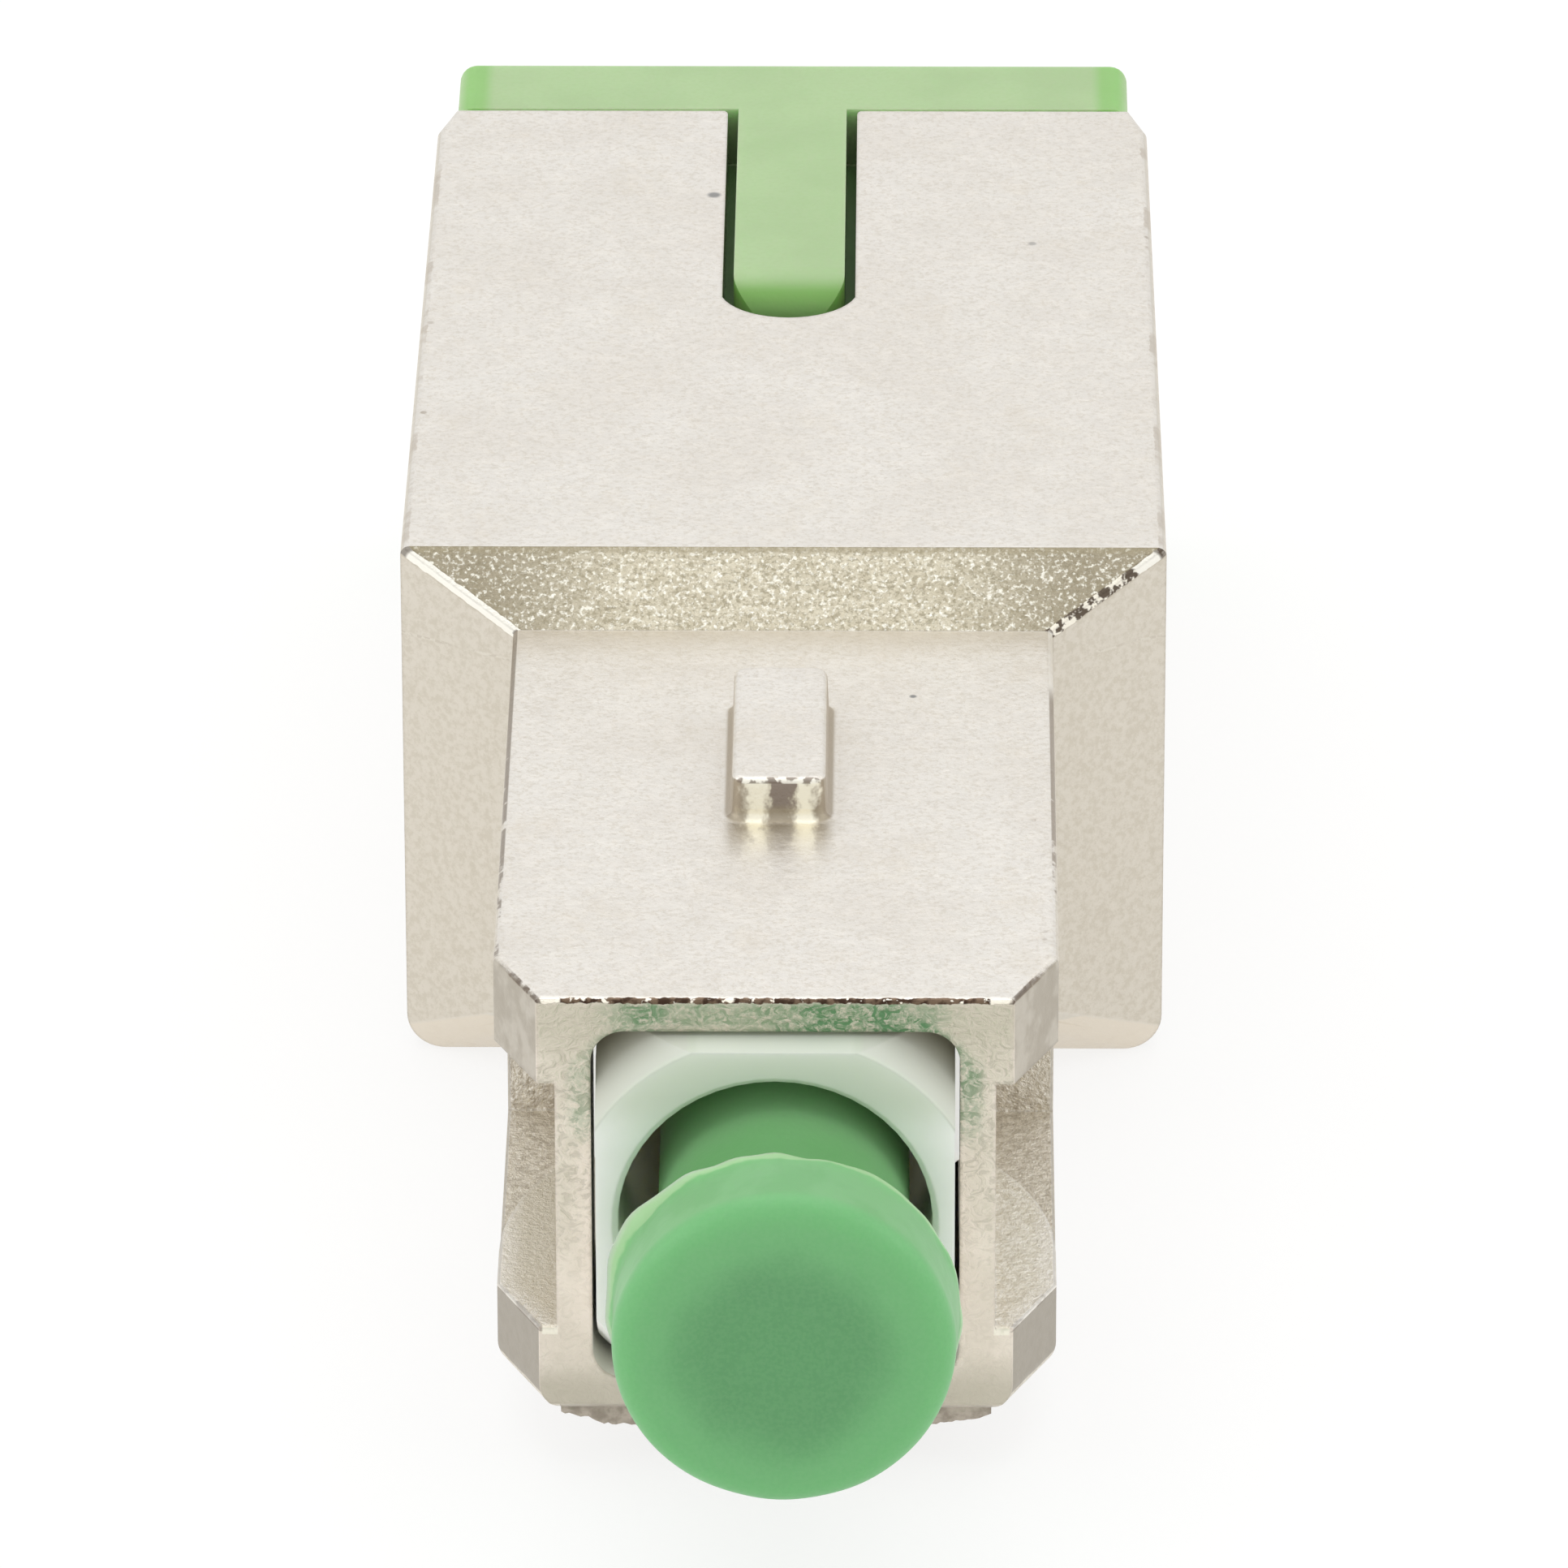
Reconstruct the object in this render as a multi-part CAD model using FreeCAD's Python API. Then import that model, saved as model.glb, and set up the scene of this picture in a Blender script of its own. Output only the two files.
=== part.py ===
"""Plug-type fixed fibre optic attenuator of the square push-pull form, in millimetres.

Y is the optical axis. The plug's metal front face lies at y = 0 and the socket's mouth faces +Y.
Z is up, towards the key. The optical axis passes through x = z = 0.
"""

import FreeCAD
import Part
import math
import os

V = FreeCAD.Vector

# Reach of cutting tools beyond the faces that they cut
OVER = 2.0

# Outer shell, plug end
PLUG_HALF_W = 4.495
PLUG_HALF_H = 3.695
PLUG_TOP_CORNER_R = 0.12
PLUG_BOTTOM_CORNER_R = 0.45
LEAD_IN_DEPTH = 0.72
LEAD_IN_LENGTH = 1.50
FRONT_TOP_EDGE_R = 0.11
FRONT_BOTTOM_BEVEL = 0.12
BORE_HALF_W = 2.93
BORE_HALF_H = 3.13
BORE_CORNER_R = 0.55

# Outer shell, key on top of the plug
KEY_WIDTH = 1.62
KEY_START = 6.34
KEY_LENGTH = 4.31
KEY_HEIGHT = 0.75
KEY_PLAN_R = 0.30
KEY_DRAFT = 0.05
KEY_TOP_EDGE_R = 0.09
KEY_BASE_FILLET = 0.16

# Outer shell, side channels with their pockets and windows
POST_THICKNESS = 0.57
CHANNEL_HALF_H = 2.20
POCKET_HALF_H = 2.50
POCKET_END = 8.10
LEDGE_START = 2.60
LEDGE_RADIUS = 5.20
WINDOW_START = 2.24
WINDOW_HALF_H = 1.90

# Outer shell, shoulder and rear body
SHOULDER_LENGTH = 1.12
BODY_FRONT_HALF_W = 6.40
BODY_REAR_HALF_W = 6.31
BODY_HALF_H = 4.70
BODY_TOP_CORNER_R = 0.16
BODY_BOTTOM_CORNER_R = 0.65
REAR_CHAMFER_WIDTH = 0.28
REAR_CHAMFER_LENGTH = 0.95
REAR_TOP_EDGE_R = 0.12

# Outer shell, socket
SOCKET_CLEARANCE = 0.03
SOCKET_CORNER_R = 0.30
SOCKET_FLOOR_SETBACK = 0.10
SHOULDER_SETBACK = 0.63
MOUTH_DEPTH = 12.80
BAY_DEPTH = 0.675
BAY_ARM_GAP = 0.45
BAY_FLOOR_GAP = 3.35
SLOT_WIDTH = 2.31
SLOT_LENGTH = 9.05
SLOT_END_SAGITTA = 0.86
SLOT_MOUTH_R = 0.25

# Travel of the inner parts in the shell and of the ferrule in the frame
CORE_TRAVEL_OUT = 1.20
CORE_TRAVEL_IN = 0.60
FERRULE_TRAVEL = 1.20
STOP_CLEARANCE = 0.05

# Plug frame
FRAME_CLEARANCE = 0.08
FRAME_PROTRUSION = 0.60
FRAME_CORNER_R = 0.60
FRAME_FACE_R = 3.32
FRAME_CONE_SLOPE = 2.20
WELL_R = 2.50
WELL_EDGE_R = 0.10
WELL_DEPTH = 7.00
WEB_THICKNESS = 0.80
WEB_HOLE_CLEARANCE = 0.20
CHAMBER_WALL = 0.50
CHAMBER_CORNER_R = 0.40
CATCH_START = 3.60
CATCH_LENGTH = 2.00
CATCH_REACH = 0.55
CATCH_HALF_H = 1.10
CATCH_RAMP = 0.80
LOCATING_RIB_WIDTH = 0.80
LOCATING_RIB_REACH = 0.75

# Ferrule, fibre and flange
FERRULE_R = 1.249
FERRULE_TIP = 1.95
CONTACT_OFFSET = 0.10
FERRULE_CHAMFER = 0.35
FERRULE_CHAMFER_LENGTH = 0.55
POLISH_ANGLE = 8.0
FIBRE_R = 0.0625
FIBRE_CLEARANCE = 0.0015
BOND_GAP = 0.010
FLANGE_CLEARANCE = 0.20
FLANGE_LENGTH = 1.80
FLANGE_TAIL_CLEARANCE = 0.12
FLANGE_TAIL_LENGTH = 1.50
FLANGE_EDGE = 0.15
NOTCH_CLEARANCE = 0.06

# Spring and its seat
SPRING_LENGTH = 4.05
SPRING_WIRE_R = 0.20
SPRING_CLEARANCE = 0.23
SPRING_PITCH = 0.81
SEAT_LENGTH = 1.20
SEAT_CLEARANCE = 0.03
SEAT_LUG_HALF_W = 0.80
SEAT_LUG_REACH = 0.42
SEAT_LUG_LENGTH = 0.80

# Split sleeve and latch insert
SLEEVE_CLEARANCE = 0.012
SLEEVE_WALL = 0.34
SLEEVE_LENGTH = 11.40
SLEEVE_SLIT = 0.50
SLEEVE_END_GAP = 0.15
TUBE_SLEEVE_CLEARANCE = 0.10
TUBE_WELL_CLEARANCE = 0.20
TUBE_LIP_LENGTH = 0.70
TUBE_LIP_HOLE_R = 1.40
TUBE_NOSE_BEVEL = 0.35
PLATE_THICKNESS = 1.20
PLATE_CLEARANCE = 0.16
PLATE_CORNER_R = 0.45
ARM_CHANNEL_GAP = 0.05
ARM_SIDE_GAP = 0.145
ARM_EDGE_GAP = 0.25
ARM_ROOT_R = 0.50
HOOK_CATCH_GAP = 0.05
HOOK_FLAT = 0.35
HOOK_RAMP = 0.75
HOOK_REACH = 0.60
HOOK_TIP_LAND = 0.20

# Ferrule cap
CAP_BORE_CLEARANCE = 0.030
CAP_STEM_R = 2.00
CAP_FLOOR_GAP = 0.60
CAP_TIP_GAP = 0.30
CAP_HEAD_R = 2.72
CAP_HEAD_START = 3.42
CAP_HEAD_THICKNESS = 1.62
CAP_FRONT_EDGE_R = 0.42
CAP_REAR_EDGE_R = 0.15
CAP_DISH_R = 1.90
CAP_DISH_DEPTH = 0.16
CAP_MOUTH_BEVEL = 0.20

# Socket dust plug
DUST_SKIRT_CLEARANCE = 0.10
DUST_SKIRT_WALL = 0.95
DUST_NOTCH_MARGIN = 0.45
COLLAR_SIDE_STEP = 0.32
COLLAR_THICKNESS = 2.15
COLLAR_BOTTOM_RISE = 0.10
COLLAR_CORNER_R = 0.30
COLLAR_EDGE_R = 0.28
COLLAR_HOLLOW_DEPTH = 1.00
TONGUE_SIDE_GAP = 0.19
TONGUE_END_GAP = 1.35
TONGUE_PLAN_R = 0.55
TONGUE_END_R = 0.80

# Positions that follow from the sizes above, from the plug's face to the socket's mouth
FRAME_HALF_W = BORE_HALF_W - FRAME_CLEARANCE
FRAME_HALF_H = BORE_HALF_H - FRAME_CLEARANCE
WELL_FLOOR = WELL_DEPTH - FRAME_PROTRUSION
WEB_END = WELL_FLOOR + WEB_THICKNESS
FLANGE_END = WEB_END + FLANGE_LENGTH
SEAT_START = FLANGE_END + SPRING_LENGTH
SEAT_END = SEAT_START + SEAT_LENGTH
SLEEVE_START = SEAT_END + SLEEVE_END_GAP
SLEEVE_END = SLEEVE_START + SLEEVE_LENGTH
FERRULE_START = -FERRULE_TIP
FERRULE_END = (SLEEVE_START + SLEEVE_END) / 2 + CONTACT_OFFSET
MATED_PLUG_FACE = FERRULE_END + FERRULE_TIP
SOCKET_FLOOR = SEAT_END - SOCKET_FLOOR_SETBACK
PLUG_LENGTH = SOCKET_FLOOR - SHOULDER_SETBACK
SHOULDER_END = PLUG_LENGTH + SHOULDER_LENGTH
SHELL_LENGTH = FERRULE_END + MOUTH_DEPTH
SOCKET_HALF_W = PLUG_HALF_W + SOCKET_CLEARANCE
SOCKET_HALF_H = PLUG_HALF_H + SOCKET_CLEARANCE
CHANNEL_FLOOR_X = BORE_HALF_W + POST_THICKNESS
LEDGE_SWEEP = math.acos(1 - (PLUG_HALF_W - CHANNEL_FLOOR_X) / LEDGE_RADIUS)
WINDOW_END = CATCH_START + CATCH_LENGTH + CORE_TRAVEL_IN + STOP_CLEARANCE
PLATE_START = SOCKET_FLOOR + CORE_TRAVEL_OUT + STOP_CLEARANCE
PLATE_END = PLATE_START + PLATE_THICKNESS
CHAMBER_HALF = FRAME_HALF_W - CHAMBER_WALL
FLANGE_R = CHAMBER_HALF - FLANGE_CLEARANCE
SPRING_MEAN_R = CHAMBER_HALF - SPRING_CLEARANCE - SPRING_WIRE_R
FLANGE_TAIL_R = SPRING_MEAN_R - SPRING_WIRE_R - FLANGE_TAIL_CLEARANCE
SLEEVE_R = FERRULE_R + SLEEVE_CLEARANCE
SLEEVE_OUTER_R = SLEEVE_R + SLEEVE_WALL
TUBE_BORE_R = SLEEVE_OUTER_R + TUBE_SLEEVE_CLEARANCE
TUBE_R = WELL_R - TUBE_WELL_CLEARANCE
TUBE_END = SLEEVE_END + SLEEVE_END_GAP + TUBE_LIP_LENGTH
HOOK_START = MATED_PLUG_FACE + CATCH_START + CATCH_LENGTH + HOOK_CATCH_GAP
ARM_INNER_X = CHANNEL_FLOOR_X + ARM_CHANNEL_GAP
ARM_OUTER_X = PLUG_HALF_W - ARM_SIDE_GAP
ARM_HALF_H = CHANNEL_HALF_H - ARM_EDGE_GAP
ARM_END = HOOK_START + HOOK_FLAT + HOOK_RAMP
BAY_HALF_W = SOCKET_HALF_W + BAY_DEPTH
BAY_HALF_H = ARM_HALF_H + BAY_ARM_GAP
BAY_START = SOCKET_FLOOR + BAY_FLOOR_GAP
CAP_STEM_END = WELL_FLOOR - FERRULE_TRAVEL - CAP_FLOOR_GAP
SLOT_END = SHELL_LENGTH - SLOT_LENGTH
TONGUE_START = SLOT_END + TONGUE_END_GAP
TONGUE_HALF_W = SLOT_WIDTH / 2 - TONGUE_SIDE_GAP
COLLAR_HALF_W = BODY_REAR_HALF_W - COLLAR_SIDE_STEP
MOUTH_HALF_W = BODY_REAR_HALF_W - REAR_CHAMFER_WIDTH
REAR_CHAMFER_START = SHELL_LENGTH - REAR_CHAMFER_LENGTH


def outline(points, radii):
    """Closed wire through flat corner points, each corner rounded by its own radius."""
    edges = []
    count = len(points)
    starts = []
    ends = []
    for index in range(count):
        corner = points[index]
        radius = radii[index]
        if radius <= 0:
            starts.append(corner)
            ends.append(corner)
            continue
        back = (points[index - 1] - corner).normalize()
        ahead = (points[(index + 1) % count] - corner).normalize()
        half_angle = back.getAngle(ahead) / 2
        inward = (back + ahead).normalize()
        centre = corner + inward * (radius / math.sin(half_angle))
        start = corner + back * (radius / math.tan(half_angle))
        end = corner + ahead * (radius / math.tan(half_angle))
        middle = centre - inward * radius
        edges.append(Part.Arc(start, middle, end).toShape())
        starts.append(start)
        ends.append(end)
    for index in range(count):
        begin = ends[index]
        finish = starts[(index + 1) % count]
        if begin.distanceToPoint(finish) > 1e-6:
            edges.append(Part.LineSegment(begin, finish).toShape())
    return Part.Wire(Part.sortEdges(edges)[0])


def prism(points, sweep):
    """Sharp-cornered outline swept into a solid."""
    return Part.Face(outline(points, [0] * len(points))).extrude(sweep)


def bar(start, end, half_w, half_h, corner_r):
    """Straight bar of rounded rectangular section along the optical axis."""
    points = [
        V(half_w, start, -half_h),
        V(half_w, start, half_h),
        V(-half_w, start, half_h),
        V(-half_w, start, -half_h),
    ]
    return Part.Face(outline(points, [corner_r] * 4)).extrude(V(0, end - start, 0))


def block(x_low, x_high, y_low, y_high, z_low, z_high):
    """Plain block between two corners."""
    return Part.makeBox(x_high - x_low, y_high - y_low, z_high - z_low, V(x_low, y_low, z_low))


def rod(radius, start, end):
    """Round rod on the optical axis."""
    return Part.makeCylinder(radius, end - start, V(0, start, 0), V(0, 1, 0))


def rounder_section(corner, inward_a, inward_b, radius):
    """Closed wire round what a corner loses when it is rounded."""
    start = corner + inward_a * radius
    end = corner + inward_b * radius
    middle = corner + (inward_a + inward_b) * (radius * (1 - math.sqrt(0.5)))
    beyond_end = end - inward_a * OVER
    beyond_corner = corner - (inward_a + inward_b) * OVER
    beyond_start = start - inward_b * OVER
    edges = [
        Part.Arc(start, middle, end).toShape(),
        Part.LineSegment(end, beyond_end).toShape(),
        Part.LineSegment(beyond_end, beyond_corner).toShape(),
        Part.LineSegment(beyond_corner, beyond_start).toShape(),
        Part.LineSegment(beyond_start, start).toShape(),
    ]
    return Part.Wire(edges)


def edge_rounder(corner, inward_a, inward_b, radius, sweep):
    """What a rounded edge loses: the corner outside its arc, swept along the edge."""
    return Part.Face(rounder_section(corner, inward_a, inward_b, radius)).extrude(sweep)


def mirrored(solid):
    """The same solid on the other side of the optical axis."""
    return solid.mirror(V(0, 0, 0), V(1, 0, 0))


def revolve_profile(edges):
    """Turn a closed profile in the YZ plane about the optical axis."""
    return Part.Face(Part.Wire(edges)).revolve(V(0, 0, 0), V(0, 1, 0), 360)


def polar_profile(points):
    """Closed straight profile from (y, radius) pairs."""
    corners = [V(0, y, radius) for y, radius in points]
    return Part.makePolygon(corners + [corners[0]]).Edges


def long_edge_rounder(up, plug_r, body_r):
    """What one long edge of the housing loses, from the plug's face over the shoulder to the mouth."""
    stations = [
        (-OVER, PLUG_HALF_W - LEAD_IN_DEPTH, PLUG_HALF_H, plug_r),
        (0, PLUG_HALF_W - LEAD_IN_DEPTH, PLUG_HALF_H, plug_r),
        (LEAD_IN_LENGTH, PLUG_HALF_W, PLUG_HALF_H, plug_r),
        (PLUG_LENGTH, PLUG_HALF_W, PLUG_HALF_H, plug_r),
        (SHOULDER_END, BODY_FRONT_HALF_W, BODY_HALF_H, body_r),
        (REAR_CHAMFER_START, BODY_REAR_HALF_W, BODY_HALF_H, body_r),
        (SHELL_LENGTH, MOUTH_HALF_W, BODY_HALF_H, body_r),
        (SHELL_LENGTH + OVER, MOUTH_HALF_W, BODY_HALF_H, body_r),
    ]
    wires = []
    for y, half_w, half_h, radius in stations:
        wires.append(rounder_section(V(half_w, y, up * half_h), V(-1, 0, 0), V(0, 0, -up), radius))
    return Part.makeLoft(wires, True, True)


def shell_outside():
    """Plug, mitred shoulder and tapered rear body: the plan and the side outline as one cast form."""
    half_plan = [
        V(PLUG_HALF_W - LEAD_IN_DEPTH, 0, -BODY_HALF_H),
        V(PLUG_HALF_W, LEAD_IN_LENGTH, -BODY_HALF_H),
        V(PLUG_HALF_W, PLUG_LENGTH, -BODY_HALF_H),
        V(BODY_FRONT_HALF_W, SHOULDER_END, -BODY_HALF_H),
        V(BODY_REAR_HALF_W, REAR_CHAMFER_START, -BODY_HALF_H),
        V(MOUTH_HALF_W, SHELL_LENGTH, -BODY_HALF_H),
    ]
    other_half = [V(-point.x, point.y, point.z) for point in reversed(half_plan)]
    plan = prism(half_plan + other_half, V(0, 0, 2 * BODY_HALF_H))
    half_side = [
        V(-BODY_FRONT_HALF_W, 0, PLUG_HALF_H),
        V(-BODY_FRONT_HALF_W, PLUG_LENGTH, PLUG_HALF_H),
        V(-BODY_FRONT_HALF_W, SHOULDER_END, BODY_HALF_H),
        V(-BODY_FRONT_HALF_W, SHELL_LENGTH, BODY_HALF_H),
    ]
    lower_half = [V(point.x, point.y, -point.z) for point in reversed(half_side)]
    side = prism(half_side + lower_half, V(2 * BODY_FRONT_HALF_W, 0, 0))
    form = plan.common(side)
    top_rounder = long_edge_rounder(1, PLUG_TOP_CORNER_R, BODY_TOP_CORNER_R)
    bottom_rounder = long_edge_rounder(-1, PLUG_BOTTOM_CORNER_R, BODY_BOTTOM_CORNER_R)
    for rounder in (top_rounder, bottom_rounder):
        form = form.cut(rounder).cut(mirrored(rounder))
    span = V(4 * PLUG_HALF_W, 0, 0)
    front_top = V(-2 * PLUG_HALF_W, 0, PLUG_HALF_H)
    form = form.cut(edge_rounder(front_top, V(0, 1, 0), V(0, 0, -1), FRONT_TOP_EDGE_R, span))
    low = -PLUG_HALF_H
    bevel = FRONT_BOTTOM_BEVEL
    bevel_points = [
        V(-2 * PLUG_HALF_W, bevel, low),
        V(-2 * PLUG_HALF_W, 0, low + bevel),
        V(-2 * PLUG_HALF_W, -bevel, low + bevel),
        V(-2 * PLUG_HALF_W, -bevel, low - bevel),
        V(-2 * PLUG_HALF_W, bevel, low - bevel),
    ]
    form = form.cut(prism(bevel_points, span))
    rear_span = V(4 * BODY_REAR_HALF_W, 0, 0)
    for up in (1, -1):
        rear_edge = V(-2 * BODY_REAR_HALF_W, SHELL_LENGTH, up * BODY_HALF_H)
        form = form.cut(edge_rounder(rear_edge, V(0, -1, 0), V(0, 0, -up), REAR_TOP_EDGE_R, rear_span))
    return form


def key():
    """Drafted key on top of the plug, with its top edge rounded; its foot is sunk in the plug."""
    end = KEY_START + KEY_LENGTH
    foot = PLUG_HALF_H - KEY_HEIGHT / 2
    levels = [(foot, 0.0), (PLUG_HALF_H + KEY_HEIGHT, KEY_DRAFT)]
    wires = []
    for z, inset in levels:
        half = KEY_WIDTH / 2 - inset
        first = KEY_START + inset
        last = end - inset
        points = [V(half, first, z), V(half, last, z), V(-half, last, z), V(-half, first, z)]
        wires.append(outline(points, [KEY_PLAN_R - inset] * 4))
    form = Part.makeLoft(wires, True, True)
    top = PLUG_HALF_H + KEY_HEIGHT
    rim = [edge for edge in form.Edges if min(v.Z for v in edge.Vertexes) > top - 1e-4]
    return form.makeFillet(KEY_TOP_EDGE_R, rim)


def key_on(form):
    """Join the key to the plug's top face and fill the corner round its foot."""
    joined = form.fuse(key())
    foot = []
    for edge in joined.Edges:
        box = edge.BoundBox
        level = box.ZMin > PLUG_HALF_H - 1e-4 and box.ZMax < PLUG_HALF_H + 1e-4
        inside = box.YMin > KEY_START - 0.1 and box.YMax < KEY_START + KEY_LENGTH + 0.1
        if level and inside and max(abs(box.XMin), abs(box.XMax)) < KEY_WIDTH / 2 + 0.1:
            foot.append(edge)
    return joined.makeFillet(KEY_BASE_FILLET, foot)


def ledge_point(turn):
    """Point on the half-moon ledge's edge, from the plug's side inward to the channel's floor."""
    x = PLUG_HALF_W - LEDGE_RADIUS * (1 - math.cos(turn))
    y = LEDGE_START + LEDGE_RADIUS * math.sin(turn)
    return V(x, y, -POCKET_HALF_H)


def side_opening():
    """One side of the plug: open channel, pocket behind its ledge, and the window into the bore."""
    outside = PLUG_HALF_W + OVER
    channel = block(CHANNEL_FLOOR_X, outside, -OVER, POCKET_END, -CHANNEL_HALF_H, CHANNEL_HALF_H)
    start = ledge_point(LEDGE_SWEEP)
    middle = ledge_point(LEDGE_SWEEP / 2)
    end = ledge_point(0)
    front_out = V(outside, LEDGE_START, -POCKET_HALF_H)
    rear_out = V(outside, POCKET_END, -POCKET_HALF_H)
    rear_in = V(CHANNEL_FLOOR_X, POCKET_END, -POCKET_HALF_H)
    edges = [
        Part.Arc(start, middle, end).toShape(),
        Part.LineSegment(end, front_out).toShape(),
        Part.LineSegment(front_out, rear_out).toShape(),
        Part.LineSegment(rear_out, rear_in).toShape(),
        Part.LineSegment(rear_in, start).toShape(),
    ]
    pocket = Part.Face(Part.Wire(edges)).extrude(V(0, 0, 2 * POCKET_HALF_H))
    inner_x = BORE_HALF_W / 2
    window = block(inner_x, outside, WINDOW_START, WINDOW_END, -WINDOW_HALF_H, WINDOW_HALF_H)
    return channel.fuse([pocket, window])


def keyway_slot():
    """Round-ended slot in the socket's top wall, open to the mouth, with rounded mouth corners."""
    half = SLOT_WIDTH / 2
    end = SLOT_END
    base = 0.0
    rear = SHELL_LENGTH + OVER
    shoulder = end + SLOT_END_SAGITTA
    edges = [
        Part.Arc(V(half, shoulder, base), V(0, end, base), V(-half, shoulder, base)),
        Part.LineSegment(V(-half, shoulder, base), V(-half, rear, base)),
        Part.LineSegment(V(-half, rear, base), V(half, rear, base)),
        Part.LineSegment(V(half, rear, base), V(half, shoulder, base)),
    ]
    rise = V(0, 0, BODY_HALF_H + OVER)
    slot = Part.Face(Part.Wire([edge.toShape() for edge in edges])).extrude(rise)
    mouth = edge_rounder(V(half, SHELL_LENGTH, base), V(0, -1, 0), V(1, 0, 0), SLOT_MOUTH_R, rise)
    return slot.fuse([mouth, mirrored(mouth)])


def outer_shell():
    """One-piece die-cast housing: plug grip, shoulder and socket body."""
    form = key_on(shell_outside())
    bore = bar(-OVER, SOCKET_FLOOR + OVER, BORE_HALF_W, BORE_HALF_H, BORE_CORNER_R)
    socket = bar(SOCKET_FLOOR, SHELL_LENGTH + OVER, SOCKET_HALF_W, SOCKET_HALF_H, SOCKET_CORNER_R)
    bays = bar(BAY_START, SHELL_LENGTH + OVER, BAY_HALF_W, BAY_HALF_H, SOCKET_CORNER_R)
    opening = side_opening()
    for tool in (bore, socket, bays, opening, mirrored(opening), keyway_slot()):
        form = form.cut(tool)
    return form


def frame_nose():
    """Envelope that sets the frame's corners back: a flat face out to a circle, then a cone."""
    front = -FRAME_PROTRUSION
    run = 2 * FRAME_HALF_H
    wide = FRAME_FACE_R + run / FRAME_CONE_SLOPE
    end = front + run
    rear = PLATE_START + OVER
    return revolve_profile(
        polar_profile([(front, 0), (front, FRAME_FACE_R), (end, wide), (rear, wide), (rear, 0)])
    )


def side_catch():
    """Wedge on the frame's side that the hooks of a mating socket snap behind."""
    inner_x = FRAME_HALF_W - FRAME_CLEARANCE
    outer_x = FRAME_HALF_W + CATCH_REACH
    end = CATCH_START + CATCH_LENGTH
    points = [
        V(inner_x, CATCH_START, -CATCH_HALF_H),
        V(FRAME_HALF_W, CATCH_START, -CATCH_HALF_H),
        V(outer_x, CATCH_START + CATCH_RAMP, -CATCH_HALF_H),
        V(outer_x, end, -CATCH_HALF_H),
        V(inner_x, end, -CATCH_HALF_H),
    ]
    return prism(points, V(0, 0, 2 * CATCH_HALF_H))


def lug_space(growth):
    """The two snap lugs of the spring seat, grown on every side for the windows that take them."""
    half_w = SEAT_LUG_HALF_W + growth
    reach = CHAMBER_HALF - SEAT_CLEARANCE + SEAT_LUG_REACH + growth
    middle = (SEAT_START + SEAT_END) / 2
    half_length = SEAT_LUG_LENGTH / 2 + growth
    return block(-half_w, half_w, middle - half_length, middle + half_length, -reach, reach)


def plug_frame():
    """Moulded inner frame: ferrule well, web, spring chamber, side catches and seat windows."""
    body = bar(-FRAME_PROTRUSION, PLATE_START, FRAME_HALF_W, FRAME_HALF_H, FRAME_CORNER_R)
    body = body.common(frame_nose())
    catch = side_catch()
    body = body.fuse([catch, mirrored(catch)])
    front = -FRAME_PROTRUSION
    well = revolve_profile(
        polar_profile(
            [
                (front - OVER, 0),
                (front - OVER, WELL_R + WELL_EDGE_R + OVER),
                (front, WELL_R + WELL_EDGE_R),
                (front + WELL_EDGE_R, WELL_R),
                (WELL_FLOOR, WELL_R),
                (WELL_FLOOR, 0),
            ]
        )
    )
    hole = rod(FERRULE_R + WEB_HOLE_CLEARANCE, WELL_FLOOR - OVER, WEB_END + OVER)
    chamber = bar(WEB_END, PLATE_START + OVER, CHAMBER_HALF, CHAMBER_HALF, CHAMBER_CORNER_R)
    body = body.cut(well).cut(hole)
    rib_half = LOCATING_RIB_WIDTH / 2
    rib_end = FLANGE_END - STOP_CLEARANCE
    rib_inner = CHAMBER_HALF - LOCATING_RIB_REACH
    ribs = block(-rib_half, rib_half, WEB_END, rib_end, rib_inner, CHAMBER_HALF)
    lower_ribs = block(-rib_half, rib_half, WEB_END, rib_end, -CHAMBER_HALF, -rib_inner)
    chamber = chamber.cut(ribs).cut(lower_ribs)
    seat_windows = lug_space(STOP_CLEARANCE).common(
        block(-OVER, OVER, SEAT_START - OVER, SEAT_END + OVER, -FRAME_HALF_H, FRAME_HALF_H)
    )
    return body.cut(chamber).cut(seat_windows)


def polish_cutter(tip_y, outward):
    """Half space that leaves an angled end: it meets the axis at tip_y and faces outward."""
    size = 4 * FERRULE_R
    cutter = Part.makeBox(2 * size, size, 2 * size, V(-size, 0, -size))
    if outward < 0:
        cutter = Part.makeBox(2 * size, size, 2 * size, V(-size, -size, -size))
    cutter.rotate(V(0, 0, 0), V(1, 0, 0), POLISH_ANGLE)
    cutter.translate(V(0, tip_y, 0))
    return cutter


def ferrule():
    """Long zirconia ferrule, chamfered and polished at an angle at both ends."""
    start = FERRULE_START
    end = FERRULE_END
    slim = FERRULE_R - FERRULE_CHAMFER
    body = revolve_profile(
        polar_profile(
            [
                (start - OVER, 0),
                (start - OVER, slim),
                (start, slim),
                (start + FERRULE_CHAMFER_LENGTH, FERRULE_R),
                (end - FERRULE_CHAMFER_LENGTH, FERRULE_R),
                (end, slim),
                (end + OVER, slim),
                (end + OVER, 0),
            ]
        )
    )
    body = body.cut(rod(FIBRE_R + FIBRE_CLEARANCE, start - 2 * OVER, end + 2 * OVER))
    return body.cut(polish_cutter(start, -1)).cut(polish_cutter(end, 1))


def attenuating_fibre():
    """Doped fibre bonded through the ferrule, polished with its ends."""
    body = rod(FIBRE_R, FERRULE_START - OVER, FERRULE_END + OVER)
    return body.cut(polish_cutter(FERRULE_START, -1)).cut(polish_cutter(FERRULE_END, 1))


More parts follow.
